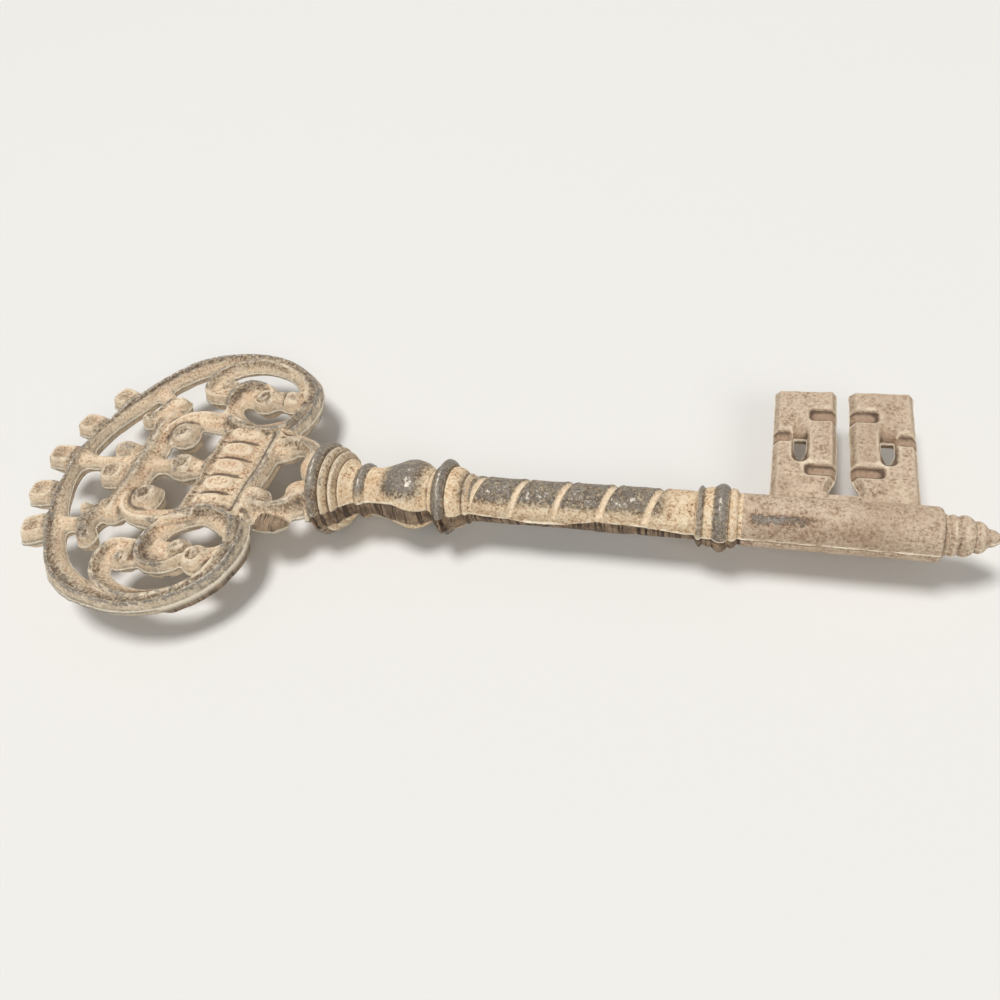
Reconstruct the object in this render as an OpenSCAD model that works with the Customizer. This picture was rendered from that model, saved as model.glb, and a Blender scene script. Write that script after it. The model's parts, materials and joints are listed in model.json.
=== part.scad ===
// Decorative skeleton key, cast in iron: an openwork scroll bow, a turned and twisted shank, and a two-tab bit.
// The key lies flat: +X runs from the bow to the tip, +Y to the bit, +Z up. Both faces carry the same relief.
// The casting is divided into the elements of its pattern, which meet face to face.

/* [Bow] */
// Length of the bow, from the first bead to the collar
bow_l = 140.5; // [118:0.5:168]
// Width of the bow over both rim scrolls
bow_w = 141; // [118:1:169]
// Half height of a band's upright side at the parting line
bow_wall = 0.9; // [0.6:0.1:1.6]
// Half thickness of the bow over the outer ridge of the rim
rim_crown = 4.8; // [4:0.1:6]
// Half thickness over the inner band of the rim
rim_band_crown = 3.8; // [3:0.1:4.6]
// Half thickness over the inner scrolls and the side scrolls
scroll_crown = 4.8; // [4:0.1:6]
// Half thickness over the volutes
volute_crown = 5.4; // [4.4:0.1:6.6]
// Half thickness of the sunk floors inside the curls
floor_crown = 2.8; // [2.2:0.1:3.4]
// Half thickness at the bottom of the grooves along the bands
groove_crown = 3.2; // [2.6:0.1:3.8]
// Radius of the eye that ends an inner scroll
scroll_eye_r = 3.8; // [3:0.1:4.6]
// Radius of the eye that ends a volute
volute_eye_r = 6; // [5:0.1:7]
// Radius of the balls that end the side scrolls
side_ball_r = 6; // [5:0.1:7]
// Radius of the ball on the centre link
link_ball_r = 5.8; // [4.8:0.1:6.8]

/* [Rim beads] */
// Length that each bead stands out of the rim
bead_l = 14.6; // [12:0.2:17.4]
// Width of a bead
bead_w = 12.4; // [10.4:0.2:14.8]
// Half thickness of a bead
bead_crown = 5; // [4:0.1:6]

/* [Clasp and throat] */
// Length of the gadrooned clasp along the key
clasp_l = 24; // [20:0.5:28]
// Number of gadroons across the clasp
gadroons = 5; // [3:1:7]
// Half thickness of the clasp over its gadroons
gadroon_crown = 6.8; // [5.6:0.1:8]
// Half thickness of the throat arms where they leave the clasp
throat_crown = 5; // [4.2:0.1:6]
// Half thickness of the throat arms where they meet the collar
throat_end_crown = 8; // [6:0.1:9.6]

/* [Shank] */
// Radius of the bow collar
collar_r = 18.5; // [16:0.5:22]
// Length of the bow collar and its cone
collar_l = 17.5; // [15:0.5:21]
// Radius of the bead ring under the bow collar
neck_bead_r = 10.7; // [9.6:0.1:12.4]
// Length of the bead ring
neck_bead_l = 5; // [4.2:0.1:6]
// Largest radius of the vase knop
knop_r = 13.2; // [11:0.2:15.8]
// Length of the vase knop
knop_l = 28.5; // [24:0.5:34]
// Radius of the middle collar
middle_collar_r = 14.4; // [12:0.2:17.2]
// Length of the middle collar and its cone
middle_collar_l = 13.5; // [11.5:0.5:16]
// Radius of the twisted shank
shank_r = 8.2; // [6.8:0.1:8.8]
// Length of the twisted shank
shank_l = 81.5; // [68:0.5:98]
// Distance along the shank from one groove to the next
twist_pitch = 16.3; // [13.6:0.1:19.6]
// Depth of the spiral groove
groove_depth = 1.4; // [0.8:0.1:2]
// Width of the spiral groove along the shank
groove_w = 5; // [3.4:0.2:6]
// Radius of the collar by the bit
bit_collar_r = 11.6; // [10.8:0.1:14]
// Length of the collar by the bit
bit_collar_l = 15.5; // [13:0.5:18]
// Radius of the barrel that carries the bit
barrel_r = 8.8; // [7.4:0.1:10.6]
// Length of the barrel
barrel_l = 60.5; // [57:0.5:73]
// Length of the finial past the barrel
finial_l = 17.5; // [14.5:0.5:21]

/* [Bit] */
// Reach of the bit from the key's axis
bit_reach = 60; // [56:1:72]
// Length of the bit along the barrel
bit_l = 47; // [44:0.5:50]
// Thickness of the bit
bit_t = 8; // [6.6:0.2:10]
// Bare barrel between the collar and the bit
bit_setback = 8.5; // [7:0.5:10]
// Width of the slot between the two tabs
slot_w = 4.6; // [3.8:0.1:5.6]
// Height above the axis where the slot ends
slot_floor = 11.6; // [11.2:0.1:13.2]
// Depth of the ward cuts from each face
ward_depth = 2.3; // [1.6:0.1:2.8]

/* [Hidden] */

// Colours of the wash and of the bare iron
sand = "#c8ab86";
tan = "#b4936d";
iron = "#4a4845";
rose = "#a98a78";

// Places along the key
collar_x = bow_l;
neck_bead_x = collar_x + collar_l;
knop_x = neck_bead_x + neck_bead_l;
middle_collar_x = knop_x + knop_l;
shank_x = middle_collar_x + middle_collar_l;
bit_collar_x = shank_x + shank_l;
barrel_x = bit_collar_x + bit_collar_l;
finial_x = barrel_x + barrel_l;
key_l = finial_x + finial_l;

// The bow is drawn on a layout of this length and width, which stretches with the bow
layout_l = 140.5;
layout_w = 141;
sx = bow_l / layout_l;
sy = bow_w / layout_w;

// Fineness of the bosses and of the turned parts
boss_fn = 12;
turned_fn = 72;

// Steps along each band
rim_steps = 28;
scroll_steps = 20;
volute_steps = 24;
side_steps = 10;
arm_steps = 10;
cross_steps = 10;
stem_steps = 6;
link_steps = 8;
gate_steps = 5;

// Stations of the bands, each as outer edge x, y and inner edge x, y, on the side of the bit
rim_rows = [[14.6, 0, 19.4, 0], [14.9, 9, 20, 8.4], [16.3, 18, 21.8, 16.2], [18.9, 27, 25.2, 24],
  [23.6, 38, 29.8, 31.8], [29.6, 47.6, 34.8, 40.8], [37.6, 56.6, 40.4, 48], [47.6, 63.6, 47, 54.2],
  [58.4, 68, 56.6, 59.6], [70, 70.2, 69, 65], [80.6, 70.5, 80.4, 66.6], [91, 69, 90, 65.2],
  [101, 65.6, 99, 61.8], [110, 60, 106.8, 56.8], [116.6, 52.8, 112.2, 50.6], [119.8, 44.4, 114.6, 43.6],
  [120.6, 36.8, 115.4, 37], [119.6, 30.6, 114.8, 31.8], [116.6, 23.4, 111.8, 25.4]];
scroll_rows = [[115, 43, 108.6, 46], [112, 51.6, 106.4, 51.4], [106, 57.8, 102.4, 55.4], [97, 63.2, 95, 58.6],
  [85, 66.6, 84.8, 60.6], [74, 65.8, 75.4, 59.6], [64.8, 62.2, 69.6, 57.4], [59.2, 57, 66.8, 55],
  [57.2, 50.4, 65, 51.6], [58.2, 44.2, 65.4, 47.6], [62.4, 40.6, 67.8, 45.2], [70, 39.4, 71.6, 44.2],
  [76, 40, 76, 44.6]];
volute_rows = [[116, 40, 111.6, 38.2], [115, 32.6, 109.8, 34.2], [113, 24.2, 106.4, 31.2], [105, 20.8, 101.8, 29],
  [96.6, 21, 96, 27.8], [89, 22, 90, 29.2], [81.6, 26.4, 85.2, 33], [75.6, 33.4, 82.8, 37.4],
  [73.6, 40.4, 81.8, 41.6], [75, 46.6, 83, 45.4], [79.6, 50.4, 86, 47.4], [86.4, 51.8, 89.2, 47.4],
  [93, 50.6, 92.2, 46], [97.8, 47, 94.4, 43.6]];
side_rows = [[90, 27.6, 90, 19], [81, 31, 81, 21], [73.4, 31.8, 73.8, 22], [66.6, 31.4, 67.8, 22.6],
  [60.4, 29.6, 64.4, 22.4], [56.4, 26, 61.4, 20.6], [55, 20.4, 59.6, 17]];
cross_rows = [[48, -27, 57.4, -27], [46.8, -19, 58.4, -19], [46.8, -9, 59.2, -9], [47, 0, 59.4, 0],
  [46.8, 9, 59.2, 9], [46.8, 19, 58.4, 19], [48, 27, 57.4, 27]];
link_rows = [[56, 5.4, 56, -5.4], [60.4, 3.4, 60.4, -3.4], [64.6, 3.2, 64.6, -3.2], [73, 5, 73, -5],
  [79.6, 4, 79.6, -4], [85, 4.8, 85, -4.8]];
stem_rows = [[16, 9, 16, -9], [21.4, 4.6, 21.4, -4.6], [27, 3.2, 27, -3.2], [35, 3.2, 35, -3.2],
  [42.6, 4.4, 42.6, -4.4], [48.6, 8.6, 48.6, -8.6]];
bar_rows = [[106.6, -23.6, 113.4, -23.6], [106.6, -12, 113.4, -12], [106.6, 12, 113.4, 12],
  [106.6, 23.6, 113.4, 23.6]];
arm_rows = [[113.4, 24, 113.4, 9], [117, 24.6, 117, 10], [121, 23.8, 121, 12.4], [125, 22, 125, 13],
  [129, 20, 128.8, 11.2], [132.4, 18.8, 131.8, 6.4], [136, 17.8, 133.6, 0], [140.5, 17, 140.5, 0]];
gate_rows = [[121, 27, 121, 20], [124.6, 27.6, 124.6, 19.4], [128.4, 26.6, 128.4, 18], [132, 22.6, 132, 16]];

// Bosses as x, y in the same layout
scroll_eye = [69.4, 48.4];
volute_eye = [94.4, 41.6];
side_ball = [64, 17.8];
link_ball = [73, 0];
stem_bead = [39.6, 7.2];
stem_bead_r = 5.2;
hook_path = [[52, 24.4], [45.6, 26.6], [42.8, 31.8], [45.4, 37.2]];
hook_radii = [5, 5.2, 4.8, 5.3];
hook_root = [30, 34.2];
hook_root_r = 3;
hook_bead = [36.6, 28.2];
hook_bead_r = 4.1;
bud_path = [[101.4, 43.6], [106.6, 43.2], [113, 42.6]];
bud_radii = [5.2, 6.2, 5];

// Sunk floors inside the two curls
scroll_floor = [[64, 51], [68, 52.6], [77, 51], [77, 41], [68, 41], [62, 46]];
volute_floor = [[82, 38.2], [80, 46], [86, 49.6], [94, 48], [97, 42], [93, 36.6], [88, 38.4]];

// Beads: place along the rim in stations, and the direction that they point in
bead_places = [[0, 180], [2.2, 172], [4, 158]];
bead_corner_r = 4;
bead_taper = 0.8;

// A row before or after the ends repeats the end row
function held(rows, i) = rows[max(0, min(len(rows) - 1, i))];

// A smooth curve through the rows, at t stations from the first
function along(rows, t) =
  let (i = min(floor(t), len(rows) - 2), u = t - i,
    a = held(rows, i - 1), b = rows[i], c = rows[i + 1], d = held(rows, i + 2))
  b + u / 2 * ((c - a) + u * ((2 * a - 5 * b + 4 * c - d) + u * (3 * (b - c) + d - a)));

// The height of a crowned band at fractions of its width, from its first side over its crown to its last
function crowned(from, first, crown, to, last) = [
  [from, first], [from + 0.2 * (to - from), first + 0.72 * (crown - first)], [(from + to) / 2, crown],
  [from + 0.8 * (to - from), last + 0.72 * (crown - last)], [to, last]];

// The closed outline of one rib, which stands across the band from its outer edge to its inner edge
function rib(row, profile) =
  let (top = [for (p = profile)
    [(row[0] + (row[2] - row[0]) * p[0]) * sx, (row[1] + (row[3] - row[1]) * p[0]) * sy, p[1]]])
  concat(top, [for (k = [len(top) - 1 : -1 : 0]) [top[k][0], top[k][1], -top[k][2]]]);

// Is true where a ring of n points turns to the right, looking along the sweep
function turns_right(points, n) =
  let (normals = [for (k = [0 : n - 1]) cross(points[k], points[(k + 1) % n])])
  ([for (k = [0 : n - 1]) 1] * normals) * (points[n] - points[0]) > 0;

// A skin over rings that all have n points, closed at both ends
module skinned(points, n) {
  rings = len(points) / n;
  flip = turns_right(points, n);
  skin = [for (i = [0 : rings - 2], k = [0 : n - 1], half_face = [0, 1])
    let (p = i * n + k, q = i * n + (k + 1) % n)
    half_face == 0 ? [p, q, p + n] : [q, q + n, p + n]];
  caps = [[for (k = [n - 1 : -1 : 0]) k], [for (k = [0 : n - 1]) (rings - 1) * n + k]];
  polyhedron(points = points, faces = [for (f = concat(skin, caps))
    flip ? [for (k = [len(f) - 1 : -1 : 0]) f[k]] : f]);
}

// A band through its stations, the same on both faces. The profile may change evenly to end_profile
module band(rows, steps, profile, end_profile) {
  ends = is_undef(end_profile) ? profile : end_profile;
  skinned([for (k = [0 : steps]) each
    rib(along(rows, k * (len(rows) - 1) / steps), profile + (ends - profile) * k / steps)], 2 * len(profile));
}

// The outline in plan of a band
module band_plan(rows, steps) {
  ribs = [for (k = [0 : steps]) along(rows, k * (len(rows) - 1) / steps)];
  polygon(concat(
    [for (r = ribs) [r[0] * sx, r[1] * sy]],
    [for (k = [steps : -1 : 0]) [ribs[k][2] * sx, ribs[k][3] * sy]]));
}

// Everything above and below an outline in plan
module through() {
  linear_extrude(height = 4 * collar_r, center = true)
    children();
}

// A round boss, the same on both faces
module boss(place, r, crown) {
  translate([place[0] * sx, place[1] * sy, 0])
    scale([r, r, crown])
      sphere(1, $fn = boss_fn);
}

// A run of bosses, each joined to the next
module boss_run(path, radii, crown) {
  for (k = [0 : len(path) - 2])
    hull() {
      boss(path[k], radii[k], crown);
      boss(path[k + 1], radii[k + 1], crown);
    }
}

module disc(place, r) {
  translate([place[0] * sx, place[1] * sy])
    circle(r, $fn = boss_fn);
}

module sunk_floor(outline) {
  linear_extrude(height = 2 * floor_crown, center = true)
    floor_plan(outline);
}

module floor_plan(outline) {
  polygon([for (p = outline) [p[0] * sx, p[1] * sy]]);
}

// side is 1 on the side of the bit and -1 on the plain side
module on_side(side) {
  mirror([0, side > 0 ? 0 : 1, 0])
    children();
}

module on_both_sides() {
  for (side = [1, -1])
    on_side(side)
      children();
}

// The key's axis in the part's frame
module on_key_axis() {
  translate([-key_l / 2, 0, collar_r])
    children();
}

// Rim scrolls: an outer ridge, a groove and an inner band
rim_profile = concat(crowned(0, bow_wall, rim_crown, 0.56, groove_crown),
  [[0.68, rim_band_crown], [0.86, rim_band_crown - 0.6], [1, bow_wall]]);
rim_end_profile = concat(crowned(0, bow_wall, rim_crown, 0.86, groove_crown + 0.4),
  [[0.9, groove_crown + 0.4], [0.94, groove_crown], [1, groove_crown]]);

module rim_scroll(side) {
  color(sand) on_key_axis() on_side(side)
    band(rim_rows, rim_steps, rim_profile, rim_end_profile);
}

module rim_plan() {
  band_plan(rim_rows, rim_steps);
}

// Beads: rounded blocks that flare outward from the rim
module rim_beads() {
  color(sand) on_key_axis()
    difference() {
      for (side = [1, -1])
        on_side(side)
          for (k = [side > 0 ? 0 : 1 : len(bead_places) - 1])
            rim_bead(bead_places[k]);
      through()
        on_both_sides()
          rim_plan();
    }
}

module rim_bead(place) {
  foot = along(rim_rows, place[0]);
  half_w = bead_w / 2 - bead_corner_r;
  translate([foot[0] * sx, foot[1] * sy, 0])
    rotate(place[1])
      hull()
        for (end = [0, 1], s = [-1, 1])
          translate([end * (bead_l - bead_corner_r), s * half_w * (end > 0 ? 1 : bead_taper), 0])
            scale([bead_corner_r, bead_corner_r, bead_crown - (1 - end)])
              sphere(1, $fn = boss_fn);
}

// Inner scrolls: a curling band with a sunk floor and an eye
scroll_profile = concat(crowned(0, bow_wall, scroll_crown, 0.56, groove_crown),
  [[0.82, rim_band_crown - 0.6], [1, bow_wall]]);

module inner_scroll(side) {
  color(sand) on_key_axis() on_side(side)
    difference() {
      union() {
        band(scroll_rows, scroll_steps, scroll_profile);
        sunk_floor(scroll_floor);
        boss(scroll_eye, scroll_eye_r, scroll_crown);
      }
      through() {
        rim_plan();
        volute_plan();
      }
    }
}

module scroll_plan() {
  band_plan(scroll_rows, scroll_steps);
  floor_plan(scroll_floor);
}

// Volutes: a tighter curl on the shaft side, with a large eye
volute_profile = concat(crowned(0, bow_wall, volute_crown, 0.6, groove_crown + 0.4),
  [[0.82, rim_band_crown - 0.6], [1, bow_wall]]);

module volute(side) {
  color(tan) on_key_axis() on_side(side)
    difference() {
      union() {
        band(volute_rows, volute_steps, volute_profile);
        sunk_floor(volute_floor);
        boss(volute_eye, volute_eye_r, volute_crown);
      }
      through() {
        rim_plan();
        clasp_plan();
      }
    }
}

module volute_plan() {
  band_plan(volute_rows, volute_steps);
  floor_plan(volute_floor);
  disc(volute_eye, volute_eye_r);
}

// Buds: a lobed leaf between the eye of the volute and the rim
module leaf_bud(side) {
  color(sand) on_key_axis() on_side(side)
    difference() {
      boss_run(bud_path, bud_radii, scroll_crown);
      through() {
        rim_plan();
        volute_plan();
        scroll_plan();
      }
    }
}

// Cross bar: a broad ridge with a long slope towards the shank
cross_profile = [[0, bow_wall], [0.13, 0.62 * scroll_crown], [0.28, 0.9 * scroll_crown], [0.45, scroll_crown],
  [0.64, 0.84 * scroll_crown], [0.85, 0.5 * scroll_crown], [1, bow_wall]];

module cross_bar() {
  color(tan) on_key_axis()
    band(cross_rows, cross_steps, cross_profile);
}

module cross_plan() {
  band_plan(cross_rows, cross_steps);
}

// Hooks: the ends of the cross bar curl outward, with a root on the rim and a small bead
module cross_hook(side) {
  color(sand) on_key_axis() on_side(side)
    difference() {
      union() {
        boss_run(hook_path, hook_radii, scroll_crown);
        boss_run([hook_path[2], hook_root], [hook_root_r, hook_root_r], rim_band_crown);
        boss_run([hook_path[1], hook_bead], [hook_root_r, hook_bead_r], scroll_crown);
      }
      through() {
        rim_plan();
        cross_plan();
      }
    }
}

// Stem: from the middle of the rim to the cross bar, with a bead on each side
module bow_stem() {
  color(sand) on_key_axis()
    difference() {
      union() {
        band(stem_rows, stem_steps, crowned(0, bow_wall, rim_band_crown, 1, bow_wall));
        on_both_sides()
          boss(stem_bead, stem_bead_r, scroll_crown);
      }
      through() {
        cross_plan();
        on_both_sides()
          rim_plan();
      }
    }
}

// Centre link: a neck with a ball
module centre_link() {
  color(sand) on_key_axis()
    difference() {
      union() {
        band(link_rows, link_steps, crowned(0, bow_wall, rim_band_crown, 1, bow_wall));
        boss(link_ball, link_ball_r, volute_crown);
      }
      through() {
        cross_plan();
        clasp_plan();
      }
    }
}

// Side scrolls: from the clasp over to a ball on the cross bar
module side_scroll(side) {
  color(sand) on_key_axis() on_side(side)
    difference() {
      union() {
        band(side_rows, side_steps, crowned(0, bow_wall, scroll_crown, 1, bow_wall));
        boss(side_ball, side_ball_r, volute_crown);
      }
      through() {
        cross_plan();
        clasp_plan();
        volute_plan();
      }
    }
}

// Clasp: a plate with a raised edge and a row of gadroons
clasp_end = 107.6 * sx;
clasp_half_w = 23.4 * sy;

module clasp_plan() {
  translate([clasp_end - clasp_l, -clasp_half_w])
    square([clasp_l, 2 * clasp_half_w]);
}

module gadroon_clasp() {
  first_x = clasp_end - clasp_l;
  pitch = 2 * clasp_half_w / gadroons;
  rows = [for (y = [-1, 1]) [first_x / sx, y * clasp_half_w / sy, clasp_end / sx, y * clasp_half_w / sy]];
  color(sand) on_key_axis() {
    band(rows, 1, [[0, bow_wall], [0.05, scroll_crown], [0.12, gadroon_crown - 1.6],
      [0.92, gadroon_crown - 1.6], [1, bow_wall + 0.8]]);
    for (k = [0 : gadroons - 1]) {
      y = (k - (gadroons - 1) / 2) * pitch;
      hull()
        for (x = [first_x + pitch * 0.5, clasp_end - pitch * 0.5], s = [-1, 1])
          boss([x / sx, (y + s * pitch * 0.1) / sy], pitch * 0.38, gadroon_crown);
    }
  }
}

// Throat: a bar past the clasp and two arms round a heart-shaped opening
module throat_bar() {
  color(tan) on_key_axis()
    difference() {
      band(bar_rows, 6, crowned(0, bow_wall + 0.8, throat_crown, 1, bow_wall));
      through() {
        clasp_plan();
        on_both_sides() {
          rim_plan();
          volute_plan();
        }
      }
    }
}

module throat_arm(side) {
  color(sand) on_key_axis() on_side(side)
    difference() {
      band(arm_rows, arm_steps, crowned(0, bow_wall, throat_crown, 1, bow_wall),
        [[0, bow_wall], [0.2, 0.6 * throat_end_crown], [0.5, 0.85 * throat_end_crown], [0.8, throat_end_crown],
          [1, throat_end_crown]]);
      through() {
        rim_plan();
        translate([0, -bow_w])
          square([bow_l, bow_w]);
      }
    }
}

// What is left of the gate that the iron was poured through
module gate_stub() {
  color(tan) on_key_axis() on_side(-1)
    difference() {
      band(gate_rows, gate_steps, crowned(0, bow_wall + 0.6, floor_crown, 1, bow_wall + 0.6));
      through() {
        band_plan(arm_rows, arm_steps);
        rim_plan();
      }
    }
}

// A swelling or, with a negative height, a hollow between two places of a turned profile. With a skew over 1 it is
// fullest past its middle
function swell(x0, r0, x1, r1, height, steps, skew = 1) =
  [for (k = [0 : steps]) let (t = k / steps)
    [x0 + (x1 - x0) * t, r0 + (r1 - r0) * t + height * sin(180 * pow(t, skew))]];

// Turns a profile of x, r points that starts and ends at the given places along the key
module turned(x, profile) {
  last = profile[len(profile) - 1];
  translate([x, 0, 0])
    rotate([0, 90, 0])
      rotate_extrude($fn = turned_fn)
        polygon(concat([[0, profile[0][0]]], [for (p = profile) [p[1], p[0]]], [[0, last[0]]]));
}

// Three rings that step down to a hollow cone
module bow_collar() {
  ring_l = 5.4;
  step_l = 2.8;
  cone_x = ring_l + 2 * step_l + 0.6;
  color(iron) on_key_axis()
    turned(collar_x, concat(
      swell(0, collar_r - 1.8, ring_l, collar_r - 1.6, 1.7, 6),
      swell(ring_l + 0.3, collar_r - 2.4, ring_l + step_l, collar_r - 3, 1.4, 4),
      swell(ring_l + step_l + 0.3, collar_r - 3.8, ring_l + 2 * step_l, collar_r - 4.8, 1.4, 4),
      swell(cone_x, collar_r - 6, collar_l, shank_r + 0.8, -0.7, 6)));
}

module neck_bead() {
  color(iron) on_key_axis()
    turned(neck_bead_x, swell(0, neck_bead_r - 2, neck_bead_l, neck_bead_r - 2, 2, 8));
}

// A vase that swells to its largest radius, low on its body, and ends in a thin lip
module vase_knop() {
  lip_l = 2.8;
  belly_x = 3.6;
  neck_r = shank_r + 1.2;
  color(iron) on_key_axis()
    turned(knop_x, concat(
      swell(0, neck_r, belly_x, neck_r, -0.3, 3),
      swell(belly_x + 0.3, neck_r, knop_l - lip_l, neck_r, knop_r - neck_r, 14, 1.5),
      swell(knop_l - lip_l + 0.2, neck_r, knop_l, neck_r + 2.4, -0.3, 3)));
}

module middle_collar() {
  ring_x = 0.9;
  ring_l = 4.8;
  fillet_x = middle_collar_l - 2.8;
  color(iron) on_key_axis()
    turned(middle_collar_x, concat(
      [[0, middle_collar_r - 3]],
      swell(ring_x, middle_collar_r - 1.8, ring_x + ring_l, middle_collar_r - 1.8, 1.8, 6),
      swell(ring_x + ring_l + 0.5, middle_collar_r - 2, fillet_x, shank_r + 0.8, -0.9, 6),
      swell(fillet_x + 0.2, shank_r + 0.5, middle_collar_l - 0.4, shank_r + 0.2, 0.8, 4),
      [[middle_collar_l, shank_r]]));
}

// Depth of the spiral groove at an angle from its middle
function groove_at(angle) =
  let (half = 180 * groove_w / twist_pitch)
  groove_depth * pow(cos(90 * min(1, abs(angle) / half)), 1.2);

// The shank is swept by a ring of points that turns once in each pitch
module twisted_shank() {
  half = 180 * groove_w / twist_pitch;
  plain_n = 9;
  plain = (360 - 2 * half) / plain_n;
  angles = concat([-half, -half / 2, 0, half / 2], [for (k = [0 : plain_n - 1]) half + k * plain]);
  rings = round(14 * shank_l / twist_pitch);
  first_groove = 2.5;
  color(tan) on_key_axis()
    translate([shank_x, 0, 0])
      skinned([for (i = [0 : rings], a = angles)
        let (x = shank_l * i / rings, r = shank_r - groove_at(a),
          turn = a + 180 - 360 * (x - first_groove) / twist_pitch)
        [x, r * sin(turn), -r * cos(turn)]], len(angles));
}

module bit_collar() {
  color(iron) on_key_axis()
    turned(bit_collar_x, concat(
      [[0, shank_r]],
      swell(0.8, bit_collar_r - 1.8, 2.4, bit_collar_r - 1.8, 0.8, 4),
      swell(2.7, bit_collar_r - 2, 6, bit_collar_r - 1.4, 0.2, 3),
      swell(6.4, bit_collar_r - 1, 10.8, bit_collar_r - 1, 1, 6),
      swell(11.2, bit_collar_r - 1.8, 13.6, bit_collar_r - 2, 0.6, 4),
      [[bit_collar_l - 1.4, bit_collar_r - 3], [bit_collar_l, barrel_r]]));
}

module barrel() {
  color(rose) on_key_axis()
    translate([barrel_x, 0, 0])
      rotate([0, 90, 0])
        cylinder(h = barrel_l, r = barrel_r, $fn = turned_fn);
}

// A shoulder, a ring, a ball and a tip
module tip_finial() {
  shoulder_l = 0.12 * finial_l;
  ring_l = 0.26 * finial_l;
  ball_l = 0.34 * finial_l;
  ball_x = shoulder_l + ring_l;
  tip_x = ball_x + ball_l;
  color(rose) on_key_axis()
    turned(finial_x, concat(
      [[0, barrel_r - 0.5], [shoulder_l * 0.6, barrel_r - 3.4]],
      swell(shoulder_l, barrel_r - 3.6, ball_x, barrel_r - 4, 1.4, 6),
      swell(ball_x + 0.2, barrel_r - 4.4, tip_x, barrel_r - 6, 1.6, 6),
      swell(tip_x + 0.2, barrel_r - 6.2, finial_l, barrel_r - 8, 0.6, 4)));
}

// Places on the bit, from the middle of its slot
bit_mid = barrel_x + bit_setback + bit_l / 2;
tab_w = (bit_l - slot_w) / 2;
web_top = 18;
draft = 1.5;
draft_l = 2.2;

// A flat block with drafted sides, from x0 to x1 and y0 to y1, and upright ends where it meets its neighbours
module drafted(x0, x1, y0, y1, slot_draft) {
  half = bit_t / 2;
  intersection() {
    translate([0, y1, 0])
      rotate([90, 0, 0])
        linear_extrude(height = y1 - y0)
          polygon([[x0, -half + draft_l], [x0, half - draft_l], [x0 + draft, half],
            [x1 - slot_draft, half], [x1, half - draft_l], [x1, -half + draft_l],
            [x1 - slot_draft, -half], [x0 + draft, -half]]);
    translate([x0, 0, 0])
      rotate([90, 0, 90])
        linear_extrude(height = x1 - x0)
          polygon([[y0, -half], [y0, half], [y1 - draft / 2, half], [y1, half - draft_l],
            [y1, -half + draft_l], [y1 - draft / 2, -half]]);
  }
}

// A cut with one round end, from x0 to x1, centred on y, on both faces
module ward_cut(x0, x1, y, w) {
  floor_z = bit_t / 2 - ward_depth;
  round_x = x0 < x1 ? x0 + w / 2 : x0 - w / 2;
  for (s = [1, -1])
    mirror([0, 0, s > 0 ? 0 : 1])
      translate([0, 0, floor_z]) {
        translate([min(round_x, x1), y - w / 2, 0])
          cube([abs(x1 - round_x), w, bit_t]);
        translate([round_x, y, 0])
          cylinder(h = bit_t, r = w / 2, $fn = turned_fn);
      }
}

// A groove up the face, with the through hole at its foot
module ward_channel(x, y0, y1, w) {
  hole_w = w * 0.72;
  hole_top = y0 + (y1 - y0) * 0.46;
  floor_z = bit_t / 2 - ward_depth;
  for (s = [1, -1])
    mirror([0, 0, s > 0 ? 0 : 1])
      translate([0, 0, floor_z]) {
        translate([x - w / 2, y0 + w / 2, 0])
          cube([w, y1 - y0 - w, bit_t]);
        for (y = [y0 + w / 2, y1 - w / 2])
          translate([x, y, 0])
            cylinder(h = bit_t, r = w / 2, $fn = turned_fn);
      }
  linear_extrude(height = 2 * bit_t, center = true)
    polygon([[x - hole_w / 2, y0 + hole_w], [x, y0 + 0.6], [x + hole_w / 2, y0 + hole_w],
      [x + hole_w / 2, hole_top - hole_w / 2], [x, hole_top], [x - hole_w / 2, hole_top - hole_w / 2]]);
}

// One tab on the tip side of the slot; the other is its mirror image
module tab_form() {
  inner = slot_w / 2;
  outer = inner + tab_w;
  mid_y = (web_top + bit_reach) / 2;
  difference() {
    mirror([1, 0, 0])
      drafted(-outer, -inner, web_top, bit_reach, draft);
    ward_cut(inner + 0.44 * tab_w, inner - 1, mid_y + 8.2, 5.6);
    ward_cut(inner + 0.5 * tab_w, inner - 1, web_top + 3.2, 5);
    ward_cut(outer - 0.3 * tab_w, outer + 1, mid_y - 5.4, 5.8);
    ward_channel(outer - 0.43 * tab_w, web_top + 6.6, mid_y + 6.2, 5.4);
  }
}

module bit_tab_tip_side() {
  color(rose) on_key_axis() translate([bit_mid, 0, 0])
    tab_form();
}

module bit_tab_shank_side() {
  color(rose) on_key_axis() translate([bit_mid, 0, 0])
    mirror([1, 0, 0])
      tab_form();
}

// The web joins both tabs to the barrel, and the slot ends in it with a wider mouth
module bit_web() {
  mouth_w = slot_w + 3;
  color(rose) on_key_axis()
    difference() {
      translate([bit_mid, 0, 0])
        difference() {
          web_block();
          translate([-mouth_w / 2, slot_floor + 1, -bit_t])
            cube([mouth_w, web_top - slot_floor, 2 * bit_t]);
          translate([-slot_w / 2, slot_floor, -bit_t])
            cube([slot_w, web_top, 2 * bit_t]);
          tab_cuts_in_web();
        }
      translate([barrel_x, 0, 0])
        rotate([0, 90, 0])
          cylinder(h = barrel_l, r = barrel_r, $fn = turned_fn);
    }
}

module web_block() {
  half = bit_t / 2;
  outer = bit_l / 2;
  translate([0, web_top, 0])
    rotate([90, 0, 0])
      linear_extrude(height = web_top)
        polygon([[-outer, -half + draft_l], [-outer, half - draft_l], [-outer + draft, half],
          [outer - draft, half], [outer, half - draft_l], [outer, -half + draft_l],
          [outer - draft, -half], [-outer + draft, -half]]);
}

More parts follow.
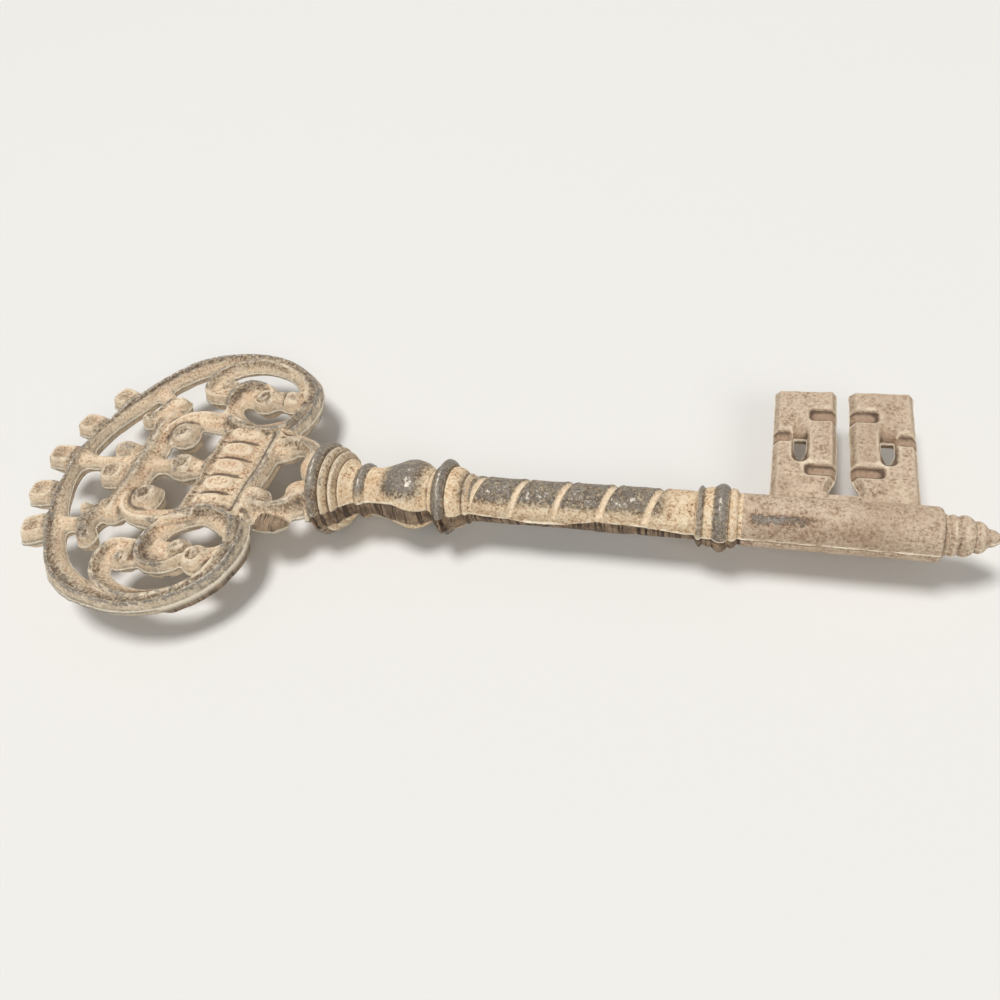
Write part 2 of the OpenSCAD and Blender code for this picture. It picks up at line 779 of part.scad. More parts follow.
// The lowest ward cuts of the tabs may run a little below the top of the web
module tab_cuts_in_web() {
  inner = slot_w / 2;
  for (s = [0, 1])
    mirror([s, 0, 0])
      ward_cut(inner + 0.5 * tab_w, inner - 1, web_top + 3.2, 5);
}

// Elements that come once on each side of the axis
module rim_scroll_bit_side() {
  rim_scroll(1);
}

module rim_scroll_plain_side() {
  rim_scroll(-1);
}

module inner_scroll_bit_side() {
  inner_scroll(1);
}

module inner_scroll_plain_side() {
  inner_scroll(-1);
}

module volute_bit_side() {
  volute(1);
}

module volute_plain_side() {
  volute(-1);
}

module leaf_bud_bit_side() {
  leaf_bud(1);
}

module leaf_bud_plain_side() {
  leaf_bud(-1);
}

module cross_hook_bit_side() {
  cross_hook(1);
}

module cross_hook_plain_side() {
  cross_hook(-1);
}

module side_scroll_bit_side() {
  side_scroll(1);
}

module side_scroll_plain_side() {
  side_scroll(-1);
}

module throat_arm_bit_side() {
  throat_arm(1);
}

module throat_arm_plain_side() {
  throat_arm(-1);
}

rim_scroll_bit_side();
rim_scroll_plain_side();
rim_beads();
inner_scroll_bit_side();
inner_scroll_plain_side();
volute_bit_side();
volute_plain_side();
leaf_bud_bit_side();
leaf_bud_plain_side();
cross_bar();
cross_hook_bit_side();
cross_hook_plain_side();
bow_stem();
centre_link();
side_scroll_bit_side();
side_scroll_plain_side();
gadroon_clasp();
throat_bar();
throat_arm_bit_side();
throat_arm_plain_side();
gate_stub();
bow_collar();
neck_bead();
vase_knop();
middle_collar();
twisted_shank();
bit_collar();
barrel();
tip_finial();
bit_web();
bit_tab_shank_side();
bit_tab_tip_side();
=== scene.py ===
# %% [markdown]
# The object is a large decorative skeleton key, cast in iron in one pour in a two-part sand mould, then brushed
# with a sandy wash that is worn through on the high places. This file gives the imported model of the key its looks.
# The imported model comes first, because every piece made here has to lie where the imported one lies. Lengths are
# worked out in millimetres along the key, from the tip of the first bead, and turned to metres at the end.

# %% Load the key and find its axis
import json
import math

import bpy
import numpy as np
from mathutils import Matrix, Vector


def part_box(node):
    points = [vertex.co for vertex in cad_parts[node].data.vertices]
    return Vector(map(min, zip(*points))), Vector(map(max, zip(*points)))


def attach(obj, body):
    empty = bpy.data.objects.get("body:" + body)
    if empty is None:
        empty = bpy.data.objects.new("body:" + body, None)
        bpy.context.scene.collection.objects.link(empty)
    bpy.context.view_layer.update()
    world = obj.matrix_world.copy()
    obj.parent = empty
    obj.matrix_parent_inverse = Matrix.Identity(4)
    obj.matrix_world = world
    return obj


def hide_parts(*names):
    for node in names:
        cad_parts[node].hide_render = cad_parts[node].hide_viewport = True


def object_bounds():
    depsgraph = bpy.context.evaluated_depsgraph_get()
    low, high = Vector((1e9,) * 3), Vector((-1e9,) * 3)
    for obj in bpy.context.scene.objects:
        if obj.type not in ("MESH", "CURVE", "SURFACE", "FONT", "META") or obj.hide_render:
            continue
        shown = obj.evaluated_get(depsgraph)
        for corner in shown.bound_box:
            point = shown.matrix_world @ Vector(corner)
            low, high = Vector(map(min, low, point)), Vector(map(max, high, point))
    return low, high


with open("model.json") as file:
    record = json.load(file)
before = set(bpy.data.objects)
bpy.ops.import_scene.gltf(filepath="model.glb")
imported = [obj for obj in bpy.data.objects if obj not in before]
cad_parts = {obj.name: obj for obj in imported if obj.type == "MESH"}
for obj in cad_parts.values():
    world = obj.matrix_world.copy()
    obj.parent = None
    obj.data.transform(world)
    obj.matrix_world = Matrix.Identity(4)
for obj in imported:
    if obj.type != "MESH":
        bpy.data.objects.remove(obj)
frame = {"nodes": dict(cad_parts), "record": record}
cad_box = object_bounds()
MM = 0.001
barrel_low, barrel_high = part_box("barrel")
AXIS_HEIGHT = (barrel_low.z + barrel_high.z) / 2 / MM
BEAD_TIP_X = cad_box[0].x / MM
print("key axis at", round(AXIS_HEIGHT, 2), "mm, first bead at", round(BEAD_TIP_X, 2), "mm")

# %% [markdown]
# A sand casting is never quite even: its faces wander by a tenth of a millimetre or two, and the sand prints a grain
# on them. Both come from one smooth random field, read at different sizes. The random table is seeded, so the key
# is the same key each time.

# %% Unevenness of the casting
SEED, TABLE = 11, 256
SAND = np.random.default_rng(SEED).uniform(-1, 1, (TABLE, TABLE))
LAYER_U, LAYER_V = 31.7, 17.3


def uneven(u, v, size, layer):
    """Smooth values from -1 to 1 with humps about size mm across; each layer reads the table elsewhere."""
    a, b = u / size + LAYER_U * layer, v / size + LAYER_V * layer
    i, j = np.floor(a).astype(int), np.floor(b).astype(int)
    a, b = a - i, b - j
    a, b = a * a * (3 - 2 * a), b * b * (3 - 2 * b)

    def between(j):
        return SAND[i % TABLE, j % TABLE] * (1 - a) + SAND[(i + 1) % TABLE, j % TABLE] * a

    return between(j) * (1 - b) + between(j + 1) * b


def ease(low, high, value):
    """0 below low, 1 above high, and smooth between."""
    t = np.clip((value - low) / (high - low), 0, 1)
    return t * t * (3 - 2 * t)


print("sand field from", round(SAND.min(), 3), "to", round(SAND.max(), 3))

# %% [markdown]
# The bow is a relief, alike on both faces, that was carved as bands, balls and plates which run into one another.
# Sculpting it from separate tubes would leave hard creases where they cross. So each element here gives two numbers
# for every point of a fine grid: how far inside its outline the point lies, and how high its carved face is there.
# A smooth maximum joins the elements: it is the logarithm of a sum of exponentials, and it fills the joins with the
# small fillets that poured iron has.

# %% A grid that collects the carved elements
GRID_STEP = 0.4
EDGE_FILLET, FACE_FILLET = 0.9, 0.32
FACE_FALL = 3.0  # how steeply an element's face sinks outside its own outline
MOST_INSIDE, MOST_FACE = 30, 12  # beyond these the exponentials would grow too large to add up


class Relief:
    """A grid in mm, with the sums of its elements, their owners, and what is carved, worn or ground on it."""

    def __init__(self, x0, x1, y0, y1):
        self.x, self.y = np.arange(x0, x1, GRID_STEP), np.arange(y0, y1, GRID_STEP)
        self.X, self.Y = np.meshgrid(self.x, self.y)
        blank = np.zeros(self.X.shape)
        self.sum_inside, self.sum_face, self.carving, self.iron = (blank.copy() for _ in range(4))
        self.ground, self.best, self.owner = blank, blank - np.inf, np.full(blank.shape, -1)
        self.parts = []

    def near(self, low, high, margin):
        """The window of the grid round a box."""
        i = np.searchsorted(self.x, [low[0] - margin, high[0] + margin])
        j = np.searchsorted(self.y, [low[1] - margin, high[1] + margin])
        return np.s_[j[0]:j[1], i[0]:i[1]]

    def add(self, part, side, where, inside, face):
        """Joins an element to the rest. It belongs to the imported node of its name, or to that side's."""
        if part not in frame["nodes"]:
            part += "_bit_side" if side > 0 else "_plain_side"
        if part not in self.parts:
            self.parts.append(part)
        face = np.where(inside < 0, face + FACE_FALL * inside, face)
        self.sum_inside[where] += np.exp(np.clip(inside, -MOST_INSIDE, MOST_INSIDE) / EDGE_FILLET)
        self.sum_face[where] += np.exp(np.clip(face, -MOST_FACE, MOST_FACE) / FACE_FILLET)
        closer = inside > self.best[where]
        self.best[where] = np.where(closer, inside, self.best[where])
        self.owner[where] = np.where(closer, self.parts.index(part), self.owner[where])


print("grid step", GRID_STEP, "mm")

# %% [markdown]
# A band is given by a few stations, each with its outer and inner edge. A smooth curve through the stations gives
# the band's middle and width everywhere, and the nearest place on that middle line tells how far across the band a
# point lies. Cords, which are round and end in a ball, are the same with a radius in place of two edges.

# %% A smooth curve through stations


def smooth_path(rows, step=0.6):
    """Points about step mm apart on the smooth cubic curve that passes through every row."""
    r = np.array(rows, float)
    held = np.vstack([r[:1], r, r[-1:]])
    out = []
    for k in range(len(r) - 1):
        a, b, c, d = held[k:k + 4]
        n = max(2, int(math.hypot(*(c - b)[:2]) / step))
        for t in np.arange(n) / n:
            out.append(b + t / 2 * ((c - a) + t * ((2 * a - 5 * b + 4 * c - d) + t * (3 * (b - c) + d - a))))
    return np.array(out + [r[-1]])


print("a test curve has", len(smooth_path([[0, 0], [10, 4], [20, 0]])), "points")

# %% [markdown]
# The curve is a chain of short straight lines. The nearest place on each of them is found for all grid points at
# once, and the nearest of all is kept, with the width that the curve has there. A search tree would be quicker for
# long curves, but the windows here are small and the arithmetic stays easy to follow.

# %% The nearest place on a curve
TINY = 1e-9


def foot_on(a, b, x, y):
    """How far along the line from a to b the nearest place to each point is, and the way from it to the point."""
    ab = b[:2] - a[:2]
    t = np.clip(((x - a[0]) * ab[0] + (y - a[1]) * ab[1]) / (ab @ ab + TINY), 0, 1)
    return t, x - a[0] - t * ab[0], y - a[1] - t * ab[1]


def nearest(path, x, y):
    """Distance, side (+ is left of the path), share of its length, and its other columns, at the nearest place."""
    best, side, place = np.full(x.shape, np.inf), np.zeros(x.shape), np.zeros(x.shape)
    values = np.zeros((path.shape[1] - 2,) + x.shape)
    for k, (a, b) in enumerate(zip(path[:-1], path[1:])):
        t, dx, dy = foot_on(a, b, x, y)
        d = dx * dx + dy * dy
        m = d < best
        best[m] = d[m]
        side[m] = np.sign((b[0] - a[0]) * dy - (b[1] - a[1]) * dx)[m]
        place[m] = (k + t[m]) / (len(path) - 1)
        for n in range(len(values)):
            values[n][m] = (a[n + 2] + t * (b[n + 2] - a[n + 2]))[m]
    return np.sqrt(best), side, place, values


test_line, test_place = np.array([[0.0, 0], [10, 0]]), np.array([5.0])
print("a point 5 mm off a test line measures", nearest(test_line, test_place, test_place)[0])

# %% [markdown]
# The layout is drawn for one side, and the other is its mirror image, except where the casting's two sides differ.
# The far side is the bit's side and the near one the plain side; what lies across the axis is drawn once. The real
# casting sits a little off its axis and is a little narrow, and the layout is shifted to match.

# %% From the layout to the grid
BOTH, FAR, NEAR, ONCE = (1, -1), (1,), (-1,), (1,)
BOW_SHIFT, BOW_WIDTH = 1.7, 0.985
SHIFT_FADES = 50, 141
ROOM_NEAR, ROOM_FAR = 1, 2  # how far, in mm, the shift may carry an element out of its own box


def each_side(relief, points, margin, sides):
    """For each side: its sign, the window round the points, and the layout's x and y at the grid points in it."""
    low, high = points.min(0), points.max(0)
    for side in sides:
        ends = sorted([low[1] * side, high[1] * side])
        where = relief.near((low[0], ends[0] - ROOM_NEAR), (high[0], ends[1] + ROOM_FAR), margin)
        x, y = relief.X[where], relief.Y[where]
        yield side, where, x, (y - BOW_SHIFT * (1 - ease(*SHIFT_FADES, x))) / BOW_WIDTH * side


print("layout moved by", BOW_SHIFT, "mm at the beads")

# %% [markdown]
# There are four ways to add to the relief, as a carver has a gouge for each profile. The first two follow a curve:
# a band has a cross-section of its own, and a cord is a half-round.

# %% The carver's bands and cords
LEAST_HALF = 0.3  # no band or cord is read as thinner than this
CORD_EDGE = 0.45  # a cord's height at its edge, as a share of its crown


def band(relief, part, rows, section, rise=((0, 1), (1, 1)), sides=BOTH):
    """Section pairs a place across, -1 outer edge to 1 inner edge, with a height; rise scales it along the band."""
    r = smooth_path(rows)
    outer, inner = r[:, 0:2], r[:, 2:4]
    middle, half = (outer + inner) / 2, np.hypot(*(outer - inner).T) / 2
    lift = np.interp(np.linspace(0, 1, len(r)), *np.array(rise).T)
    ahead, out = np.gradient(middle, axis=0), outer - middle
    left_is_outer = np.sign((ahead[:, 0] * out[:, 1] - ahead[:, 1] * out[:, 0]).sum())
    for side, where, x, y in each_side(relief, np.vstack([outer, inner]), 4, sides):
        d, turn, _, (w, up) = nearest(np.column_stack([middle, half, lift]), x, y)
        across = -d * turn * left_is_outer / np.maximum(w, LEAST_HALF)
        relief.add(part, side, where, w - d, np.interp(across, *np.array(section).T) * up)


def cord(relief, part, rows, crown, flat=0.0, sides=BOTH):
    """Rows are x, y, radius; the section is a dome as high as crown, flat over that share of its radius."""
    path = smooth_path(rows)
    for side, where, x, y in each_side(relief, path[:, :2], 9, sides):
        d, _, _, (w,) = nearest(path, x, y)
        t = np.clip(d / np.maximum(w, LEAST_HALF), 0, 1)
        dome = np.sqrt(np.clip(1 - np.clip((t - flat) / (1 - flat), 0, 1) ** 2, 0, 1))
        relief.add(part, side, where, w - d, crown * (CORD_EDGE + (1 - CORD_EDGE) * dome))


print("a cord's edge is", CORD_EDGE, "of its crown high")

# %% [markdown]
# The other two stand on their own: a block is a ball, a bead or a pillow, by how square it is, and a plate is flat
# and fills an outline. They are distances like the bands, not meshes, so that they melt into their neighbours.

# %% The carver's blocks and plates
BLOCK_EDGE, BLOCK_ROUND = 0.42, 2.4
DISH_WIDTH, LIP_AT, LIP_WIDTH = 0.45, 0.72, 0.13


def block(relief, part, centre, half, angle, crown, sides=BOTH, power=3.0, dish=0.0, lip=0.0):
    """A domed block, round for power 2 and squarer above; dish sinks its middle and lip raises a ring round it."""
    c, s = math.cos(math.radians(angle)), math.sin(math.radians(angle))
    reach = (max(half) + 1) * np.array([[-1, -1], [1, 1]])
    for side, where, x, y in each_side(relief, np.array(centre) + reach, 3, sides):
        x, y = x - centre[0], y - centre[1]
        a, b = (x * c + y * s) / half[0], (-x * s + y * c) / half[1]
        rho = (np.abs(a) ** power + np.abs(b) ** power) ** (1 / power)
        dome = np.sqrt(np.clip(1 - np.clip(rho, 0, 1) ** BLOCK_ROUND, 0, 1))
        face = crown * (BLOCK_EDGE + (1 - BLOCK_EDGE) * dome) - dish * np.exp(-(rho / DISH_WIDTH) ** 2)
        face += lip * np.exp(-((rho - LIP_AT) / LIP_WIDTH) ** 2)
        relief.add(part, side, where, (1 - rho) * min(half), face)


def plate(relief, part, outline, height, sides=BOTH):
    """A flat plate inside a closed outline. A line from a point inside crosses the outline an odd number of times."""
    p = np.array(outline, float)
    for side, where, x, y in each_side(relief, p, 3, sides):
        best, odd = np.full(x.shape, np.inf), np.zeros(x.shape, bool)
        for a, b in zip(p, np.roll(p, -1, axis=0)):
            best = np.minimum(best, np.hypot(*foot_on(a, b, x, y)[1:]))
            if a[1] != b[1]:
                odd ^= ((a[1] > y) != (b[1] > y)) & (x < a[0] + (y - a[1]) * (b[0] - a[0]) / (b[1] - a[1]))
        relief.add(part, side, where, np.where(odd, best, -best), np.full(x.shape, float(height)))


print("a block's edge is", BLOCK_EDGE, "of its crown high")

# %% [markdown]
# Finer work goes on top of the finished face: a line is scored into it or laid on it, a swirl is a scored spiral as
# on a rolled-up end, and a bare path marks where hands and cloths wore the wash away.

# %% Lines, swirls and wear
LINE_FADE, SWIRL_END, WEAR_SOFT = 0.12, 0.85, 1.45


def line(relief, rows, width, height, sides=BOTH):
    """A thin raised line, or with a negative height a scored one; it fades out at both ends."""
    path = smooth_path(rows)
    for _, where, x, y in each_side(relief, path, 3 * width, sides):
        d, _, place, _ = nearest(path, x, y)
        fade = ease(0, LINE_FADE, place) * ease(0, LINE_FADE, 1 - place)
        relief.carving[where] += height * np.exp(-(d / width) ** 2) * fade


def swirl(relief, centre, radius, turns, start, width, height, sides=BOTH):
    """A scored spiral from the rim of a ball to its middle."""
    a = np.linspace(0, 1, 26)
    angle, r = math.radians(start) + 2 * math.pi * turns * a, radius * (1 - SWIRL_END * a)
    line(relief, np.column_stack([centre[0] + r * np.cos(angle), centre[1] + r * np.sin(angle)]), width, height, sides)


def bare(relief, amount, sides, rows):
    """Wears the wash away along a path; rows are x, y, half width."""
    path = smooth_path(rows)
    for _, where, x, y in each_side(relief, path[:, :2], 8, sides):
        d, _, _, (w,) = nearest(path, x, y)
        relief.iron[where] = np.maximum(relief.iron[where], amount * np.exp(-(d / (WEAR_SOFT * w)) ** 2))


print("strokes: band, cord, block, plate, line, swirl, bare")

# %% [markdown]
# The rim and the beads. The rim has a round outer ridge, a fine groove, and a flatter inner band about twice as
# wide. It could be a bevelled curve, but a band draws the ridge and the groove in one stroke and may change its
# width. Five beads stand out of it at the bow's end, rounded square blocks with a shallow dish on top.

# %% Carve the rim and its beads
bow = Relief(-1.2, 141.2, -72.5, 74.5)
rim_rows = [[14.6, 0, 19.4, 0], [14.9, 9, 20, 8.4], [16.3, 18, 21.8, 16.2], [18.9, 27, 25.2, 24],
            [23.6, 38, 29.8, 31.8], [29.6, 47.6, 34.8, 40.8], [37.6, 56.6, 40.4, 48], [47.6, 63.6, 47, 54.2],
            [58.4, 68, 56.6, 59.6], [70, 70.2, 69, 64], [80.6, 70.5, 80.4, 65.4], [91, 69, 90, 64.2],
            [101, 65.6, 99, 60.8], [110, 60, 106.4, 55.8], [116.6, 52.8, 111.8, 49.8], [119.8, 44.4, 114.2, 43.2],
            [120.6, 36.8, 115, 37], [119.6, 30.6, 114.4, 31.8], [116.6, 23.4, 111.8, 25.4]]
rim_section = [[-1, 1.9], [-0.8, 3.3], [-0.56, 4.7], [-0.4, 5.1], [-0.3, 4.6], [-0.2, 3.1], [-0.1, 3.3], [0.05, 4.0],
               [0.5, 3.7], [0.85, 2.9], [1, 2.2]]
band(bow, "rim_scroll", rim_rows, rim_section)
BEAD_HALF, BEAD_CROWN, BEAD_SQUARE, BEAD_DISH, BEAD_LIP = (7.6, 6.3), 4.7, 3.6, 0.8, 0.75
for x, y, angle, sides in [(7.6, 0.8, 180, ONCE), (10.6, 20.6, 171, BOTH), (19.4, 38.6, 157, BOTH)]:
    block(bow, "rim_beads", (x, y), BEAD_HALF, angle, BEAD_CROWN, sides, BEAD_SQUARE, BEAD_DISH, BEAD_LIP)
print("rim and beads cover", round((bow.best > 0).sum() * GRID_STEP ** 2 / 100, 1), "square cm")

# %% [markdown]
# The curls at both sides of the bow. Each inner scroll runs round inside the rim and narrows into a hook with a
# small eye. The floor between its turns is a low plate, which is simpler than a hole that is half filled.

# %% Carve the inner scrolls
scroll_rows = [[115, 43, 108.6, 46], [112, 51.6, 106.4, 51.4], [106, 57.8, 102.4, 55.4], [97, 63.2, 95, 58.6],
               [85, 66.6, 84.8, 60.6], [74, 65.8, 75.4, 59.6], [64.8, 62.2, 69.6, 57.4], [59.2, 57, 66.8, 55],
               [57.2, 50.4, 65, 51.6], [58.2, 44.2, 65.4, 47.6], [62.4, 40.6, 67.8, 45.2], [70, 39.4, 71.6, 44.2],
               [76, 40, 76, 44.6]]
scroll_section = [[-1, 2.2], [-0.8, 3.8], [-0.55, 5.0], [-0.42, 4.9], [-0.3, 4.0], [0.1, 3.0], [0.6, 2.6], [1, 2.2]]
band(bow, "inner_scroll", scroll_rows, scroll_section)
plate(bow, "inner_scroll", [[64, 51], [68, 52.6], [77, 51], [77, 41], [68, 41], [62, 46]], 2.9)
cord(bow, "inner_scroll", [[70, 49.2, 3.6], [71.4, 49, 3.4]], 4.6)
swirl(bow, (69.6, 49.6), 3.4, 1.2, 200, 0.5, -0.9)
print("bow parts so far", len(bow.parts))

# %% [markdown]
# Each volute coils the other way to a larger eye, and a bud grows from it. The two buds differ: the far one has
# three lobes with scored veins, and the near one is a ball with a swirl and a short stalk.

# %% Carve the volutes and the buds
volute_rows = [[116, 40, 111.6, 38.2], [115, 32.6, 109.8, 34.2], [113, 24.2, 106.4, 31.2], [105, 20.8, 101.8, 29],
               [96.6, 21, 96, 27.8], [89, 22, 90, 29.2], [81.6, 26.4, 85.2, 33], [75.6, 33.4, 82.8, 37.4],
               [73.6, 40.4, 81.8, 41.6], [75, 46.6, 83, 45.4], [79.6, 50.4, 86, 47.4], [86.4, 51.8, 89.2, 47.4],
               [93, 50.6, 92.2, 46], [97.8, 47, 94.4, 43.6]]
volute_section = [[-1, 2.2], [-0.8, 3.8], [-0.6, 5.5], [-0.48, 5.6], [-0.34, 4.5], [0.1, 3.3], [0.6, 2.8], [1, 2.4]]
band(bow, "volute", volute_rows, volute_section)
plate(bow, "volute", [[82, 38.2], [80, 46], [86, 49.6], [94, 48], [97, 42], [93, 36.6], [88, 38.4]], 3.0)
block(bow, "volute", (94.4, 41.6), (6, 6), 0, 5.3, FAR, 2.0, 0.7)
swirl(bow, (94.4, 41.6), 4.6, 1.2, 120, 0.55, -1.0, FAR)
for x, y, radius, crown in [[101.4, 43.4, 4.6, 4.4], [107.4, 43.0, 5.6, 5.0], [112.4, 45.6, 4.2, 4.6]]:
    block(bow, "leaf_bud", (x, y), (radius, radius), 0, crown, FAR, 2.2)
line(bow, [[103.4, 38.6], [103.8, 43], [102.8, 47.6]], 0.6, -1.1, FAR)
line(bow, [[106, 47.6], [110.4, 46], [114, 41]], 0.6, -0.9, FAR)
block(bow, "volute", (93, 41), (4.2, 4.2), 0, 4.7, NEAR, 2.0, 0.4)
block(bow, "leaf_bud", (103, 44.6), (6, 6), 0, 5.4, NEAR, 2.0, 0.7)
swirl(bow, (103, 44.6), 4.6, 1.1, 200, 0.55, -0.9, NEAR)
cord(bow, "leaf_bud", [[106, 44, 4.2], [111, 42, 3.4], [115.4, 39.6, 2.6]], 4.6, 0.1, NEAR)
print("bow parts so far", len(bow.parts))

# %% [markdown]
# The middle of the bow starts at the rim with the stem and its two beads. It stands on the cross bar, which has a
# crest along its middle. Both lie across the axis, so their stations run from one side to the other.

# %% Carve the stem and the cross bar
stem_rows = [[16, 9, 16, -9], [21.4, 4.6, 21.4, -4.6], [27, 3.4, 27, -3.4], [35, 3.4, 35, -3.4],
             [42.6, 4.6, 42.6, -4.6], [48.6, 8.6, 48.6, -8.6]]
band(bow, "bow_stem", stem_rows, [[-1, 2.2], [-0.6, 3.4], [0, 3.9], [0.6, 3.4], [1, 2.2]], sides=ONCE)
block(bow, "bow_stem", (39.4, 8.0), (6.2, 3.9), 12, 4.8, FAR, 2.4)
block(bow, "bow_stem", (41.4, 6.8), (6.6, 6.2), -10, 5.0, NEAR, 2.6, 0.6, 0.5)
cross_rows = [[48, -27, 57.4, -27], [46.8, -19, 58.4, -19], [46.8, -9, 59.2, -9], [47, 0, 59.4, 0],
              [46.8, 9, 59.2, 9], [46.8, 19, 58.4, 19], [48, 27, 57.4, 27]]
cross_section = [[-1, 2.4], [-0.75, 3.6], [-0.4, 4.3], [-0.05, 5.3], [0.15, 5.1], [0.5, 3.6], [0.85, 2.4], [1, 2.0]]
band(bow, "cross_bar", cross_rows, cross_section, sides=ONCE)
print("bow parts so far", len(bow.parts))

# %% [markdown]
# The cross bar's ends hook outward, the near one to a rolled-up end with a swirl, the far one to a plainer curl. A
# short spur ties each hook to the rim, and a ball fills the corner beside it. Hooks are round in section, so they
# are cords and not bands.

# %% Carve the hooks of the cross bar
near_hook = [[51.6, 22.6, 5.6], [46.6, 26.8, 4.6], [43.2, 31.6, 4.0], [43.6, 36.4, 3.9], [46.4, 40.0, 4.2]]
cord(bow, "cross_hook", near_hook, 4.7, 0.1, NEAR)
cord(bow, "cross_hook", [[43, 33.4, 3.0], [36, 34, 3.2], [30, 35, 4.0]], 3.8, 0.3, NEAR)
block(bow, "cross_hook", (38.4, 26.4), (3.1, 3.1), 0, 4.6, NEAR, 2.0)
swirl(bow, (46.6, 40.2), 3.2, 1.2, 30, 0.6, -1.2, NEAR)
far_hook = [[52.6, 18, 5.6], [49.2, 24.2, 4.4], [46.4, 29.4, 3.9], [46.8, 33.8, 4.4], [50.4, 35.4, 4.3]]
cord(bow, "cross_hook", far_hook, 4.4, 0.35, FAR)
cord(bow, "cross_hook", [[45.4, 36, 3.2], [41.6, 39.4, 2.8], [37.4, 42.6, 3.4]], 3.2, 0.3, FAR)
block(bow, "cross_hook", (41.6, 26.0), (4.5, 4.3), 0, 4.9, FAR, 2.0, 0.3)
line(bow, [[46.0, 22], [43.2, 29.6], [43.4, 36.0], [48.0, 39.2], [52.6, 38.6]], 0.8, 0.9, FAR)
print("bow parts so far", len(bow.parts))

# %% [markdown]
# Past the cross bar come the centre link with its ball and the two side scrolls, which roll up into balls. Each ball
# carries a scored swirl.

# %% Carve the link and the side scrolls
link_rows = [[56, 5.4, 56, -5.4], [60.4, 3.6, 60.4, -3.6], [64.6, 3.4, 64.6, -3.4], [73, 5, 73, -5],
             [79.6, 4.2, 79.6, -4.2], [85, 5, 85, -5]]
band(bow, "centre_link", link_rows, [[-1, 2.6], [-0.5, 3.8], [0, 4.0], [0.5, 3.8], [1, 2.6]], sides=ONCE)
block(bow, "centre_link", (72.6, 0), (6.2, 5.9), 0, 5.3, ONCE, 2.2, 0.5, 0.4)
swirl(bow, (72.2, 0.3), 3.6, 1.1, 150, 0.55, -0.8, ONCE)
side_rows = [[90, 27.6, 90, 19], [81, 31, 81, 21], [73.4, 31.8, 73.8, 22], [66.6, 31.4, 67.8, 22.6],
             [60.4, 29.6, 64.4, 22.4], [56.4, 26, 61.4, 20.6], [55, 20.4, 59.6, 17]]
band(bow, "side_scroll", side_rows, [[-1, 2.8], [-0.75, 4.6], [-0.5, 5.0], [-0.1, 3.7], [0.5, 2.9], [1, 2.2]])
block(bow, "side_scroll", (64.2, 17.4), (6.2, 6.2), 0, 5.3, BOTH, 2.2, 0.6, 0.4)
swirl(bow, (63.8, 17.8), 4.0, 1.0, 100, 0.5, -0.8)
print("bow parts so far", len(bow.parts))

# %% [markdown]
# The clasp binds the curls together: a plate with a raised border and five gadroons, which are pillow-shaped ribs
# side by side. Its plate is drawn first and the ribs are laid on it, as a carver would glue them on. An array of
# pillow meshes would look the same from afar, but would meet the plate in a hard line.

# %% Carve the clasp
CLASP_X, CLASP_END, CLASP_HALF, GADROONS = 83.6, 107.6, 23.4, 5
clasp_outline = [[CLASP_X, -CLASP_HALF], [CLASP_END, -CLASP_HALF], [CLASP_END, CLASP_HALF], [CLASP_X, CLASP_HALF]]
plate(bow, "gadroon_clasp", clasp_outline, 3.6, sides=ONCE)
pitch = 2 * CLASP_HALF / GADROONS
for k in range(GADROONS):
    block(bow, "gadroon_clasp", (96.4, (k - 2) * pitch), (8.9, pitch * 0.5), 0, 5.6, ONCE, 2.2, 0.35, 0.6)
for k in range(-2, 2):
    line(bow, [[x, (k + 0.5) * pitch] for x in (85, 95, 107)], 0.45, -0.45, ONCE)
print("gadroons are", round(pitch, 2), "mm wide")

# %% [markdown]
# Past the clasp a groove and a bar lead to two arms round a heart-shaped opening, and the arms rise to meet the
# collar. On the plain side is the stub of the gate that the iron was poured through.

# %% Carve the throat and the gate stub
band(bow, "throat_bar", [[106.6, -23.6, 113.4, -23.6], [106.6, 0, 113.4, 0], [106.6, 23.6, 113.4, 23.6]],
     [[-1, 2.6], [-0.5, 2.8], [0.1, 4.6], [0.6, 4.9], [1, 3.6]], sides=ONCE)
arm_rows = [[113.4, 24, 113.4, 9], [117, 24.6, 117, 10], [121, 23.8, 121, 12.4], [125, 22, 125, 13],
            [129, 20, 128.8, 11.2], [132.4, 18.8, 131.8, 6.4], [136, 17.8, 133.6, 0], [140.5, 17, 140.5, 0]]
arm_section = [[-1, 2.2], [-0.6, 3.0], [-0.3, 3.4], [-0.15, 4.9], [0.1, 5.1], [0.5, 4.0], [1, 2.6]]
band(bow, "throat_arm", arm_rows, arm_section, [[0, 1], [0.7, 1.0], [1, 1.35]])
plate(bow, "gate_stub", [[121, -20], [124.6, -19], [128.4, -18], [133, -16], [133.6, -22], [129, -26.6],
                         [124.6, -27.6], [120, -27]], 2.6, sides=ONCE)
line(bow, [[84.7, -23], [84.7, 0], [84.7, 23]], 0.8, 1.9, ONCE)
line(bow, [[108, 22.4], [114, 20.6], [121, 19.0], [127, 16.6], [133, 10.6]], 0.5, 0.9, FAR)
block(bow, "throat_arm", (115.4, 14.6), (5.6, 6.4), 0, 5.6, NEAR, 2.2)
print("bow parts", len(bow.parts), bow.parts)

# %% [markdown]
# Where the wash wore off: mostly the outer ridge of the rim near the beads, the crest of the cross bar, the outer
# ridges of the volutes and the tops of the balls. They could be painted on by hand, but paths are easy to mirror
# and to move. They only mark places; the finish decides what they show.

